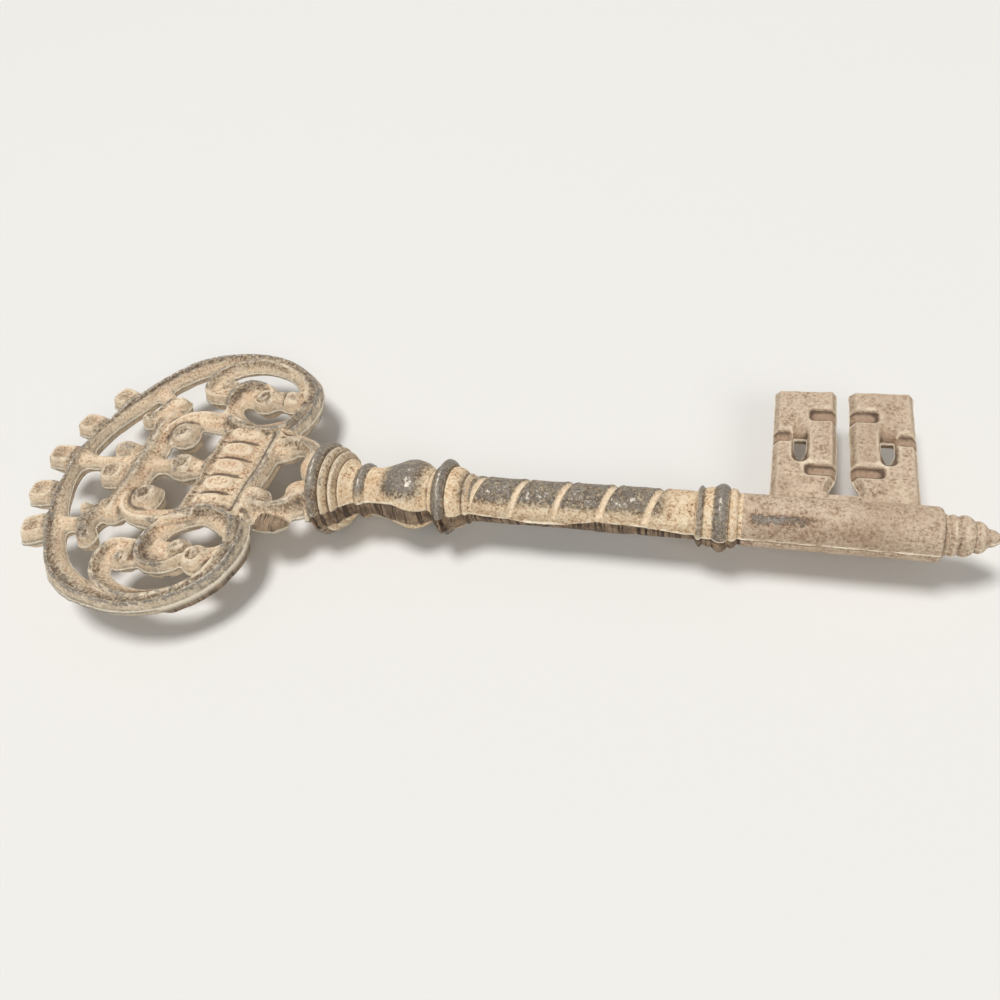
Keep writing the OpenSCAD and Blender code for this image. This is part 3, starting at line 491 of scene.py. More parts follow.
# %% Mark the worn places of the bow
worn_paths = [
    (0.85, BOTH, [[15.8, 0, 2.6], [17.6, 17, 2.6], [25.6, 36, 2.6], [39, 53.4, 2.4], [53, 62.6, 2.2], [70, 67.6, 2],
                  [90, 66.6, 2], [106, 60, 2.2]]),
    (0.95, BOTH, [[108, 59, 2.4], [116.4, 50, 2.8], [117.6, 38, 2.8], [114.6, 27, 2.6]]),
    (0.7, ONCE, [[50, -24, 2.4], [52.4, 0, 3], [50.4, 22, 2.4]]),
    (0.8, BOTH, [[75.6, 31.4, 2.4], [76.4, 40, 3], [80, 47, 2.4], [89, 50, 2.2]]),
    (0.7, BOTH, [[83, 25.4, 2.4], [96, 23, 2.4], [108, 24.6, 2.6], [114, 30, 2.6]]),
    (0.6, BOTH, [[59.8, 46, 2.4], [61, 55, 2.6], [69, 61.4, 2.4], [82, 64.4, 2], [97, 61, 2]]),
    (0.8, ONCE, [[109.6, -20, 2], [109.6, 0, 2.4], [109.6, 20, 2]]),
    (0.5, ONCE, [[85.4, -21, 2], [85.4, 0, 2], [85.4, 21, 2]]),
    (0.6, BOTH, [[118, 17, 3], [127, 16, 3], [138, 12, 3]]),
    (0.85, NEAR, [[45, 27, 3], [43, 33, 3], [46, 39, 3]]),
    (0.8, FAR, [[44.6, 31, 1.6], [45.4, 37, 1.6], [50, 40, 1.6], [55, 39, 1.4]])]
for x, y, radius, amount in [
        [72, 0, 4, 0.7], [63, 17, 4, 0.7], [94, 41.6, 4, 0.6], [42.8, 26, 3, 0.6], [71, 49, 3.6, 0.5],
        [6, 0.8, 3.2, 0.5], [9, 20.6, 3.2, 0.5], [18, 38.6, 3.2, 0.5], [40, 7, 4, 0.6], [108, 43, 3, 0.45],
        [103, 44.6, 4, 0.5]]:
    worn_paths.append((amount, BOTH, [[x - 0.5, y, radius], [x + 0.5, y, radius]]))
for amount, sides, rows in worn_paths:
    bare(bow, amount, sides, rows)
print("marked", round((bow.iron > 0.4).sum() * GRID_STEP ** 2 / 100, 1), "square cm")

# %% [markdown]
# A blurred copy of the face tells what stands up and what lies deep: ridges lose their wash and get a painted
# highlight, and hollows keep their grime and get painted shade. Three running means in a row blur as softly as a
# round brush, and need only sums. Nothing outside the outline counts, or the edges would all seem high.

# %% Blur inside the outline


def blurred(values, solid, reach):
    """Box blur inside the solid, three times over."""
    n = max(1, int(round(reach / GRID_STEP)))
    out, weight = np.where(solid, values, 0.0), solid.astype(float)
    for axis in (0, 1) * 3:
        edges = [(n + 1, n) if a == axis else (0, 0) for a in (0, 1)]
        first = np.arange(out.shape[axis])
        runs = [np.cumsum(np.pad(v, edges), axis) for v in (out, weight)]
        out, weight = [np.take(run, first + 2 * n + 1, axis) - np.take(run, first, axis) for run in runs]
    return np.where(weight > 0, out / np.maximum(weight, TINY), 0.0)


print("a flat field stays", blurred(np.ones((9, 9)), np.ones((9, 9), bool), 1.0).mean())

# %% [markdown]
# Now the sums become heights. The smooth maximum of the elements is the outline and the face. At the outline the
# face falls away in a drafted side to the parting line, where the two halves of the mould met: draft is what lets a
# pattern leave the sand.

# %% From strokes to heights
PARTING, SIDE_ROUND = 0.35, 0.62  # height of the edge over the middle plane, and the reach of the drafted side
FACE_LEAST, FACE_MIDDLE, FACE_DEPTH = 2.0, 3.2, 1.36  # the carving is deepened about its middle level
# Reaches of the blurs for creases and hollows, and where the edge band peaks: they place the wear, the painted shade
# and the edge's painted highlight.
CREASE_REACH, HOLLOW_REACH, SHOULDER_AT = 1.4, 4.0, 0.6
NOTHING, FAR_OUTSIDE = 1e-30, -9.0  # keeps the logarithm of an empty place finite, and stands for it
WANDER, WANDER_SIZE, GRAIN, GRAIN_SIZE, EDGE_WANDER, EDGE_SIZE = 0.16, 5.0, 0.1, 1.9, 0.12, 3.2
# In mm inside the outline: where smoothing starts, where a blur starts to count, and where the edge's wander ends.
SMOOTH_FROM, COUNT_FROM, WANDER_TO = -1.5, -1.0, 3.0


def settle(relief):
    """Outline, height, and the marks for wear, painted shade and painted highlight of a relief."""
    x, y = relief.X, relief.Y
    inside = np.where(relief.sum_inside > 0, EDGE_FILLET * np.log(relief.sum_inside + NOTHING), FAR_OUTSIDE)
    face = np.maximum(FACE_FILLET * np.log(relief.sum_face + NOTHING), FACE_LEAST)
    face = FACE_MIDDLE + (face - FACE_MIDDLE) * FACE_DEPTH
    face = blurred(face, inside > SMOOTH_FROM, GRID_STEP) + relief.carving
    face += WANDER * uneven(x, y, WANDER_SIZE, 1) + GRAIN * uneven(x, y, GRAIN_SIZE, 2)
    inside += EDGE_WANDER * uneven(x, y, EDGE_SIZE, 3) * (inside < WANDER_TO)
    depth = np.clip(inside, 0, None)
    height = PARTING + (face - PARTING) * (1 - np.exp(-depth / SIDE_ROUND))
    # The first mark says how far the face stands above its nearby average: it sets the wear, the painted shade in
    # creases and the painted highlight on crests.
    return inside, height, {"worn": face - blurred(face, inside > COUNT_FROM, CREASE_REACH),
                            # This mark places the painted shade in the hollows.
                            "low": face - blurred(face, inside > COUNT_FROM, HOLLOW_REACH),
                            # This band along the edge gets a painted highlight.
                            "shoulder": np.exp(-((depth - SHOULDER_AT) / SHOULDER_AT) ** 2)}


bow_inside, bow_height, bow_marks = settle(bow)
print("bow outline covers", round((bow_inside > 0).sum() * GRID_STEP ** 2 / 100, 1), "square cm, top",
      round(bow_height[bow_inside > 0].max(), 2), "mm")

# %% [markdown]
# The heights become meshes. Grid cells inside the outline are kept, and the points along the outline are slid onto
# it, so the edge is smooth and not a staircase.

# %% Find the outline on the grid
MOST_SLIDE, LEAST_SLOPE = 0.3, 0.25


def outline(relief, inside):
    """The cells and points that are iron; at those points: is it the edge, x, y, and the way out of the iron."""
    rows, cols = inside.shape
    cells = (inside[:-1, :-1] + inside[1:, :-1] + inside[:-1, 1:] + inside[1:, 1:]) / 4 > 0
    count = np.zeros((rows, cols), int)
    for j, i in ((0, 0), (0, 1), (1, 0), (1, 1)):
        count[j:rows - 1 + j, i:cols - 1 + i] += cells
    used, edge = count > 0, (count > 0) & (count < 4)
    gy, gx = np.gradient(inside, GRID_STEP)
    slope = np.maximum(np.hypot(gx, gy), LEAST_SLOPE)
    slide = np.clip(inside / slope, -MOST_SLIDE, MOST_SLIDE) * edge
    x, y = relief.X - slide * gx / slope, relief.Y - slide * gy / slope
    return cells, used, edge[used], x[used], y[used], np.stack([-gx / slope, -gy / slope], -1)[used]


bow_outline = outline(bow, bow_inside)
print("bow cells", bow_outline[0].sum(), "edge points", bow_outline[2].sum())

# %% [markdown]
# The upper and lower face are the two halves of the mould. They don't quite line up: the lower half sits a little
# towards the plain side, and a thin fin of iron, the flash, marks the parting line all round. Where the flash was
# ground off, the lower edge is cut back. Each point also carries marks for the finish to read: how far it stands
# out, which sets its wear, painted shade and painted highlight, how deep it lies, and whether it is on a shoulder
# or on the flash, which both get a painted highlight, or ground.

# %% Lay the two halves and the flash between them
MOULD_SHIFT = np.array([0.15, -0.55])
FIN_HALF, FIN_CUT, EDGE_CUT = 0.12, 3.6, 3.4  # half the flash's thickness, and how far it and the edge are ground back
EDGE_LEAN = 1.6  # the face's edge is shaded as if it leans out this much for 1 up
FIN_MEAN, FIN_VARIES, FIN_SIZE, BACK_WANDER, BACK_SIZE = 0.75, 0.6, 2.6, 0.1, 4.0
# The face's edge takes this share of the painted highlight along the flash line.
EDGE_HIGHLIGHT_SHARE = 0.6  # how much the face's edge shares in the flash's pale line
FIN_UP, FIN_DOWN = np.array([0, 0, 0.5]), np.array([0, 0, 0.3])
NO_LENGTH = 1e-6


def unit(v):
    """Rows scaled to length 1."""
    return v / np.maximum(np.linalg.norm(v, axis=1)[:, None], NO_LENGTH)


def halves(relief, shape, height, marks, flash, ground):
    """Points, normals and marks in four layers: upper face, lower face, upper and lower edge of the flash."""
    _, used, edge, x, y, out = shape
    n = len(x)
    iy, ix = np.gradient(np.where(used, height, PARTING), GRID_STEP)
    shade = np.column_stack([-ix[used], -iy[used], np.ones(n)])
    shade[edge] = np.column_stack([out[edge] * EDGE_LEAN, np.ones(edge.sum())])
    shade = unit(shade)
    cut = ground(x, y)
    below = np.where(edge, PARTING + EDGE_CUT * cut, height[used] + BACK_WANDER * uneven(x, y, BACK_SIZE, 7))
    upper = np.column_stack([x, y, np.where(edge, PARTING, height[used])])
    lower = np.column_stack([x + MOULD_SHIFT[0], y + MOULD_SHIFT[1], -below])
    fin = flash * (FIN_MEAN + FIN_VARIES * uneven(x, y, FIN_SIZE, 8))
    fin_high = np.column_stack([x + out[:, 0] * fin, y + out[:, 1] * fin, np.full(n, FIN_HALF)])
    fin_low = fin_high + np.column_stack([np.tile(MOULD_SHIFT, (n, 1)), -2 * FIN_HALF - FIN_CUT * cut])
    outward = unit(np.column_stack([out, np.zeros(n)]))
    normals = unit(np.vstack([shade, shade * [1, 1, -1], outward + FIN_UP, outward - FIN_DOWN]))
    attributes = {key: np.tile(value[used], 4) for key, value in {**marks, "iron": relief.iron}.items()}
    # The flash mark places the painted highlight along the fin and, more faintly, along the face's edge.
    attributes["flash"] = np.concatenate([edge * EDGE_HIGHLIGHT_SHARE, edge * EDGE_HIGHLIGHT_SHARE, np.ones(n), 1 - cut])
    attributes["ground"] = np.concatenate([relief.ground[used], np.zeros(2 * n), cut])
    return np.vstack([upper, lower, fin_high, fin_low]), normals, attributes


print("flash", 2 * FIN_HALF, "mm thick")

# %% [markdown]
# Each named element of the casting gets its own closed mesh, and all share the smooth normals of the whole. A side
# of a cell that no neighbour shares is either on the rim of the casting, where the flash goes, or on a seam between
# two elements, where a flat wall closes each of them.

# %% Cut a relief into its named pieces


def cell_sides(quads):
    """The four sides of each cell, each from point to point."""
    return np.vstack([quads[:, [i, (i + 1) % 4]] for i in range(4)])


def relief_pieces(relief, shape, height, marks, flash, ground=lambda x, y: np.zeros(len(x))):
    """Returns {name: (vertices, faces, normals, attributes)} in mm in the key's own frame."""
    cells, used = shape[:2]
    vertices, normals, attributes = halves(relief, shape, height, marks, flash, ground)
    n = used.sum()
    index = np.zeros(used.shape, int)
    index[used] = np.arange(n)
    j, i = np.nonzero(cells)
    quads = np.column_stack([index[j, i], index[j, i + 1], index[j + 1, i + 1], index[j + 1, i]])
    owners = relief.owner[j, i]
    whole = cell_sides(quads) @ [n, 1]
    result = {}
    for k, part in enumerate(relief.parts):
        mine = quads[owners == k]
        sides = cell_sides(mine)
        free = sides[~np.isin(sides @ [n, 1], sides @ [1, n])]
        at_rim = ~np.isin(free @ [1, n], whole)
        faces = [mine, mine[:, ::-1] + n]
        p, q = free[at_rim].T
        for above, below in ((0, 2 * n), (2 * n, 3 * n), (3 * n, n)):
            faces.append(np.column_stack([p + above, p + below, q + below, q + above]))
        p, q = free[~at_rim].T
        faces.append(np.column_stack([p, p + n, q + n, q]))
        faces = np.vstack(faces)
        keep, back = np.unique(faces, return_inverse=True)
        result[part] = (vertices[keep], back.reshape(faces.shape), normals[keep],
                        {key: value[keep] for key, value in attributes.items()})
    return result


bow.ground = (bow.owner == bow.parts.index("gate_stub")) * ease(19.5, 21, -bow.Y)
bow_pieces = relief_pieces(
    bow, bow_outline, bow_height, bow_marks, flash=0.32,
    ground=lambda x, y: ease(96, 102, x) * (1 - ease(-34, -28, y)))  # where the rim's plain side was ground
print({name: len(piece[1]) for name, piece in bow_pieces.items()})

# %% [markdown]
# The real bow is a hand-carved pattern's casting and not true: its parts stand up to 4 mm from where a symmetric
# layout puts them. The offsets are measured at some thirty marks, and every point moves by the mean of the marks
# near it, so that the relief isn't torn. A lattice would do the same with more points to set. The move fades out
# before the collar, which was turned and is true.

# %% Put the bow out of true
OUT_OF_TRUE = np.array([
    [15.6, 40, 0.9, 1.0], [8.2, 20.8, 0.4, 2.3], [6.3, 1.6, -0.4, 2.2], [9.7, -20.5, -0.2, 3.4], [18.4, -38.3, 0, 2.6],
    [83, 71, -0.8, 2.2], [120.6, 46, 2.4, 0.3], [119, 25, 0.3, 1.7], [95, 41, -0.1, 2.2], [62, 42, 1, 2.4],
    [68, 15.6, -1, 2.4], [98, 27, 0.4, 2.1], [77, 59, 1.6, 2.7], [127.5, -27.5, -1.4, 3.2], [121, -31, -1.5, 3],
    [122, -51, -2.4, 3.4], [106, -66, -1.9, 3.3], [89, -68.5, -1.1, 1.9], [73, -68.7, -1.1, 1.7], [54, -65, -0.8, 1.1],
    [32, -50, 0.1, 0.2], [37.3, -24, -1.2, 2.2], [42.6, -6, -1.5, 1.3], [41.7, 8.6, -2.4, 2], [74, 1.4, 0.5, 2.8],
    [67, -17, -0.9, 1.3], [69.5, -45.7, -0.7, 2.8], [86, -50, -0.8, 2.9], [62, -59.7, -1.6, 2.6]])
MARK_REACH, TRUE_FROM, TRUE_AT = 11.0, 124, 140
FAR_WEIGHT = 1e-5  # a point far from every mark moves by the mean of them all


def out_of_true(vertices):
    """Moves the bow's points from where they were drawn to where the real casting has them."""
    x, y = vertices[:, 0], vertices[:, 1]
    total, weight = np.zeros((len(x), 2)), np.zeros(len(x))
    for mark_x, mark_y, dx, dy in OUT_OF_TRUE:
        w = np.exp(-((x - mark_x) ** 2 + (y - mark_y) ** 2) / (2 * MARK_REACH ** 2)) + FAR_WEIGHT
        total += w[:, None] * [dx, dy]
        weight += w
    moved = vertices.copy()
    moved[:, :2] += total / weight[:, None] * (1 - ease(TRUE_FROM, TRUE_AT, x))[:, None]
    return moved


bow_pieces = {name: (out_of_true(piece[0]),) + piece[1:] for name, piece in bow_pieces.items()}
print("bow moved by up to", np.abs(OUT_OF_TRUE[:, 2:]).max(0), "mm")

# %% [markdown]
# The bit is the same kind of relief, but flat: two tabs and a web, each a plate with drafted edges, and a slot
# between the tabs that widens to its foot. Boxes with holes cut in them would do, but as a relief its edges get the
# draft and the flash of the bow. The tabs mirror each other, so distances are taken from the slot's middle.

# %% Draw the bit's outline
BIT_MID, BIT_HALF, BIT_REACH, WEB_TOP = 334.0, 23.5, 60.0, 18.0
SLOT_HALF, SLOT_FOOT, SLOT_FLARE, FLARE_ENDS = 2.3, 11.6, 3.0, WEB_TOP + 3
TAB_W = BIT_HALF - SLOT_HALF
BIT_EDGE_SIZE = 3.0
bit = Relief(BIT_MID - BIT_HALF - 1.2, BIT_MID + BIT_HALF + 1.2, 4.0, BIT_REACH + 1.2)
off, up = np.abs(bit.X - BIT_MID), bit.Y
tab_in = np.minimum(TAB_W / 2 - np.abs(off - (BIT_HALF + SLOT_HALF) / 2), BIT_REACH - up)
foot_half = SLOT_HALF + SLOT_FLARE * (1 - ease(SLOT_FOOT, FLARE_ENDS, up))
web_in = np.where(up < SLOT_FOOT, BIT_HALF - off, np.minimum(BIT_HALF - off, off - foot_half))
bit_edge = np.where(up > WEB_TOP, np.minimum(tab_in, off - foot_half), web_in)
bit_edge = np.where(off < foot_half, np.maximum(SLOT_FOOT - up, -np.abs(foot_half - off)), bit_edge)
bit_edge += EDGE_WANDER * uneven(bit.X, bit.Y, BIT_EDGE_SIZE, 6)
print("bit covers", round((bit_edge > 0).sum() * GRID_STEP ** 2 / 100, 1), "square cm")

# %% [markdown]
# The wards are cuts that let a key pass the ridges inside its lock. Here they are only cast for show: three sunk
# rectangles on each tab, and a channel that slopes down into a small hole through.

# %% Sink the wards and cut the holes


def pocket(x0, x1, middle_y, width, corner=1.7):
    """Distance inside a sunk rectangle with round corners."""
    dx = np.abs(off - (x0 + x1) / 2) - (abs(x1 - x0) / 2 - corner)
    dy = np.abs(up - middle_y) - (width / 2 - corner)
    return corner - np.hypot(np.maximum(dx, 0), np.maximum(dy, 0)) - np.minimum(np.maximum(dx, dy), 0)


CHANNEL_OFF, CHANNEL_HALF, HOLE_HALF, WARD_SOFT, CHANNEL_SOFT = BIT_HALF - 0.43 * TAB_W, 2.7, 2.3, 0.45, 0.6
HOLE_FOOT, HOLE_ENDS = (2, 5), 0.8  # its foot is rounded from 2 mm below to 5 mm above, and its ends are softened
tab_middle = (WEB_TOP + BIT_REACH) / 2
low, high = WEB_TOP + 6.6, tab_middle + 6.2
hole_low, hole_high = low + 2.2, low + 0.62 * (high - low)
hole_edge = HOLE_HALF * ease(hole_low - HOLE_FOOT[0], hole_low + HOLE_FOOT[1], up) - np.abs(off - CHANNEL_OFF)
bit_hole = np.minimum(hole_edge, np.minimum(up - hole_low, hole_high - up) * HOLE_ENDS)
bit_ward = np.maximum.reduce([  # from, to, middle and width, off the slot's middle and up from the axis
    pocket(SLOT_HALF + 0.44 * TAB_W, SLOT_HALF - 4, tab_middle + 8.2, 5.6),
    pocket(SLOT_HALF + 0.5 * TAB_W, SLOT_HALF - 4, WEB_TOP + 3.2, 5.0),
    pocket(BIT_HALF - 0.3 * TAB_W, BIT_HALF + 4, tab_middle - 2.6, 5.0)])
channel = pocket(CHANNEL_OFF - CHANNEL_HALF, CHANNEL_OFF + CHANNEL_HALF, (low + high) / 2, high - low, 2.6)
ramp = ease(high + 1, hole_high - 2, up)
sunk = np.maximum(ease(-WARD_SOFT, WARD_SOFT, bit_ward), ease(-CHANNEL_SOFT, CHANNEL_SOFT, channel) * ramp)
print("holes from", round(hole_low, 1), "to", round(hole_high, 1), "mm off the axis")

# %% [markdown]
# The bit's sides are bevelled, so that it would leave the sand, and the bevel's upper edge gets a painted
# highlight. Its heights go the same way as the bow's from here.

# %% Give the bit its heights
BIT_FACE, WARD_FLOOR, BEVEL, HOLE_BEVEL, BEVEL_SOFT = 4.0, 1.9, 1.7, 0.5, 0.9
BIT_WANDER, BIT_WANDER_SIZE, BIT_GRAIN, BIT_GRAIN_SIZE = 0.08, 6.0, 0.06, 2.0
BEVEL_TOP, BEVEL_ROUND = 1.3, 1.06  # the bevel is followed this far past the face, and rounded from here down
# The last two give the painted highlight along the top of the bevel: how strong and how wide.
BIT_CREASE_REACH, BIT_WORN, BIT_LOW, BIT_EDGE_HIGHLIGHT, PALE_WIDTH = 1.2, 0.72, 0.8, 0.7, 0.4
bit_in = np.minimum(bit_edge, -bit_hole)
face = BIT_FACE - (BIT_FACE - WARD_FLOOR) * sunk
face += BIT_WANDER * uneven(bit.X, bit.Y, BIT_WANDER_SIZE, 4) + BIT_GRAIN * uneven(bit.X, bit.Y, BIT_GRAIN_SIZE, 5)
climb = np.minimum(np.clip(bit_edge / BEVEL, 0, BEVEL_TOP), np.clip(-bit_hole / HOLE_BEVEL, 0, BEVEL_TOP))
climb = np.minimum(climb, 1 - BEVEL_SOFT * np.clip(BEVEL_ROUND - climb, 0, None) ** 2)
bit_height = PARTING + (blurred(face, bit_in > COUNT_FROM, GRID_STEP) - PARTING) * np.clip(climb, 0, 1)
from_bevel = np.clip(bit_edge, 0, None) - BEVEL
# The low mark darkens the sunk wards with painted shade.
bit_marks = {"worn": BIT_WORN * (face - blurred(face, bit_in > COUNT_FROM, BIT_CREASE_REACH)),
             "low": BIT_LOW * (face - BIT_FACE),
             # A painted highlight along the bevel's upper edge, away from the sunk wards.
             "shoulder": BIT_EDGE_HIGHLIGHT * np.exp(-(from_bevel / PALE_WIDTH) ** 2) * (1 - sunk)}
bit.parts = ["bit_web", "bit_tab_shank_side", "bit_tab_tip_side"]
bit.owner = np.where(bit.Y < WEB_TOP, 0, np.where(bit.X < BIT_MID, 1, 2))
bit_pieces = relief_pieces(bit, outline(bit, bit_in), bit_height, bit_marks, flash=0.22)
print({name: len(piece[1]) for name, piece in bit_pieces.items()})

# %% [markdown]
# The shank was turned on the pattern-maker's lathe, so each of its parts is a profile of radii swept round the axis.
# The Screw modifier sweeps a profile too, but the twist, the flash and the ground strip change from angle to angle.
# Each profile has the place where it starts, its chief radius, and rows of places along it and radii over or under
# that one. A row of two numbers is a plain point, and a longer one swells from a first point to a second.

# %% Turn the profiles


def swell(x0, r0, x1, r1, rise, skew=1.0):
    """A run between two points that bulges by rise on the way, or by a negative one is waisted."""
    t = np.linspace(0, 1, 24)
    return np.column_stack([x0 + (x1 - x0) * t, r0 + (r1 - r0) * t + rise * np.sin(np.pi * t ** skew)])


def turned(start, radius, rows, step=0.45):
    """Stations and radii of a profile, about step mm apart along its length."""
    p = np.vstack([[[row[0], radius + row[1]]] if len(row) == 2 else
                   swell(row[0], radius + row[1], row[2], radius + row[3], *row[4:]) for row in rows])
    run = np.concatenate([[0], np.cumsum(np.hypot(*np.diff(p, axis=0).T))])
    s = np.linspace(0, run[-1], int(run[-1] / step) + 2)
    return start + np.interp(s, run, p[:, 0]), np.interp(s, run, p[:, 1])


SHANK_X, SHANK_R, SHANK_L = 205.0, 8.2, 81.5
BARREL_X, BARREL_R, BARREL_L = 302.0, 8.8, 60.5
profiles = {
    "bow_collar": turned(140.5, 18.5, [
        (0, -4.6, 1.5, -1.3, 0.6), (1.5, -1.3, 5.4, -1.7, 1.3), (5.7, -3.1, 8.7, -3.6, 1.5),
        (9.1, -4.7, 11.7, -5.6, 1.4), (12.0, -7.2), (12.4, -6.4, 17.5, -9.5, -0.5)]),
    "neck_bead": turned(158.0, 10.7, [(0, -2, 5, -2, 2)]),
    "vase_knop": turned(163.0, 13.2, [
        (0, -3.8, 3.6, -3.8, -0.3), (3.9, -3.8, 25.7, -3.8, 3.8, 1.5), (25.9, -3.8, 28.5, -1.4, -0.3)]),
    "middle_collar": turned(191.5, 14.4, [
        (0, -3), (1.0, -1.8, 4.8, -1.8, 1.8), (5.1, -3.2), (5.5, -2.8, 10.4, -5.0, 0.7),
        (10.9, -5.7, 13.1, -6.0, 0.8), (13.5, -6.2)]),
    "twisted_shank": turned(SHANK_X, SHANK_R, [(0, 0), (SHANK_L, 0)]),
    "bit_collar": turned(286.5, 11.6, [
        (0, -3.4), (0.8, -1.8, 2.4, -1.8, 0.8), (2.7, -2, 6, -1.4, 0.2), (6.4, -1, 10.8, -1, 1),
        (11.2, -1.8, 13.6, -2, 0.6), (14.1, -3), (15.5, -2.8)]),
    "barrel": turned(BARREL_X, BARREL_R, [(0, 0), (BARREL_L - 0.8, 0), (BARREL_L, -0.6)]),
    "tip_finial": turned(BARREL_X + BARREL_L, BARREL_R, [
        (0, -0.5), (0.5, -2.6, 1.9, -2.7, 0.5), (2.1, -2.9, 4.7, -2.9, 0.6), (4.9, -3.1, 9.2, -3.6, 0.9),
        (9.4, -4.3, 13.3, -5.6, 1.0), (13.5, -6, 17.5, -8, 0.5)])}
print({name: len(p[0]) for name, p in profiles.items()})

# %% [markdown]
# The grooves of the twist lean like a slash and come round once every 16 mm. Between them the ridges are broad and
# low. Each groove is the smooth bottom of a cosine, so it has soft lips as cast ones do, and wash lies thick in it.
# It fades where the parting line crosses it, because the mould halves had to leave the pattern there. A change of
# radius makes it in one step, where cutting with spiral tubes would leave sharp and ragged lips.

# %% Cut the twist
TWIST_PITCH, GROOVE_W, GROOVE_D, FIRST_GROOVE = 16.3, 3.3, 1.5, 2.5
GROOVE_SHARP, RIDGE_RISE, LIP_RISE, LIP_AT_WIDTHS, LIP_SOFT = 1.2, 0.25, 0.2, 0.62, 0.45
WASH_MOST, WASH_HALF = 0.95, 1.15
END_FADE, LINE_FLATTENS, FLAT_FROM, FLAT_TO = 2.0, 0.9, (-3.0, -0.4), (8, 11)  # flattened by 0.9 past the line
# The flash line on the plain side, in degrees above the middle plane, at places along the key.
LINE_RISE = np.array([[141, 12], [150, 15], [158, 19], [165, 24], [176, 32], [187, 19], [197, 14], [210, 7], [228, -2],
                      [242, 0], [252, 17], [267, 14], [284, 0], [293, 7], [302, 4], [330, 3], [380, 0]]).T


def past_line(x, degrees, radius):
    """How far round the key a point lies past the plain side's flash line, in mm."""
    return (degrees - 180 + np.interp(x, *LINE_RISE)) * np.pi / 180 * radius


def twist(x, degrees):
    """What the twist adds to the radius, how much of a groove each point is, and how much wash lies there."""
    turn = degrees - 90 + 360 * (x - SHANK_X - FIRST_GROOVE) / TWIST_PITCH
    away = np.abs((turn + 180) % 360 - 180) / 360 * TWIST_PITCH
    past = past_line(x, degrees, SHANK_R)
    kept = ease(0, END_FADE, x - SHANK_X) * ease(0, END_FADE, SHANK_X + SHANK_L - x)
    kept = kept * (1 - LINE_FLATTENS * ease(*FLAT_FROM, past) * (1 - ease(*FLAT_TO, past)))
    groove = np.cos(np.pi / 2 * np.clip(away / (GROOVE_W / 2), 0, 1)) ** GROOVE_SHARP
    lip = np.exp(-((away - LIP_AT_WIDTHS * GROOVE_W) / LIP_SOFT) ** 2)
    wash = WASH_MOST * np.exp(-(away / WASH_HALF) ** 4)
    return (RIDGE_RISE - GROOVE_D * groove + LIP_RISE * lip) * kept, groove * kept, wash * kept


print("the twist makes", round(SHANK_L / TWIST_PITCH, 1), "turns")

# %% [markdown]
# The flash fin, the shift of the lower mould half and the ground strip are laid on as small changes of the swept
# grid. On the shank the flash was ground off below the line, which left a flat strip 6 to 9 mm wide.

# %% Lay the flash and the grinding on a turned part
SKIN_BUMP, SKIN_SIZE, SKIN_GRAIN, SKIN_GRAIN_SIZE = 0.12, 5.5, 0.6, 1.8
FLASH_HALF, FLASH_HIGH, FLASH_VARIES, FLASH_SIZE = 0.38, 0.32, 0.2, 3.5
STRIP_W, STRIP_VARIES, STRIP_SIZE, STRIP_EDGE, STRIP_FLAT = 7.5, 1.6, 6, 0.3, 0.02
SHIFTED_BELOW = (0.1, 0.5)  # the lower half's shift sets in this far under the middle plane
UNGROUND = ("barrel", "tip_finial")


def turned_surface(name, x, angle, radius):
    """y and z of the swept grid, its bumps, the height of its fin, and where it was ground."""
    degrees = np.degrees(angle)
    y, z = radius * np.cos(angle), radius * np.sin(angle)
    # The field is read on a slant, because it is flat and the key is round.
    bumps = SKIN_BUMP * (uneven(x + 0.6 * y, z - 0.5 * y, SKIN_SIZE, 12)
                         + SKIN_GRAIN * uneven(x - 0.4 * z, y + z, SKIN_GRAIN_SIZE, 13))
    radius = radius + bumps
    past = past_line(x, degrees, radius)
    to_line = np.minimum(np.abs(past), np.minimum(degrees, 360 - degrees) * np.pi / 180 * radius)
    fin = FLASH_HIGH + FLASH_VARIES * uneven(x, np.sign(y) * 40, FLASH_SIZE, 14)
    fin = fin * np.exp(-(to_line / FLASH_HALF) ** 2)
    y, z = (radius + fin) * np.cos(angle), (radius + fin) * np.sin(angle)
    y = y + MOULD_SHIFT[1] * ease(*SHIFTED_BELOW, -z)
    strip = STRIP_W + STRIP_VARIES * uneven(x, np.zeros(x.shape), STRIP_SIZE, 15)
    ground = ease(STRIP_EDGE, 2 * STRIP_EDGE, past) * (1 - ease(strip, strip + 2 * STRIP_EDGE, past))
    ground = ground * (name not in UNGROUND)
    return y * (1 - STRIP_FLAT * ground), z * (1 - STRIP_FLAT * ground), bumps, fin, ground


print("ground strip", STRIP_W, "mm wide")

# %% [markdown]
# The iron shows on the crests of the collars, on the knop's belly and on the ridges of the twist, where it is worn
# on the upper side and keeps its wash below. The barrel has one thin worn streak and a haze round it.

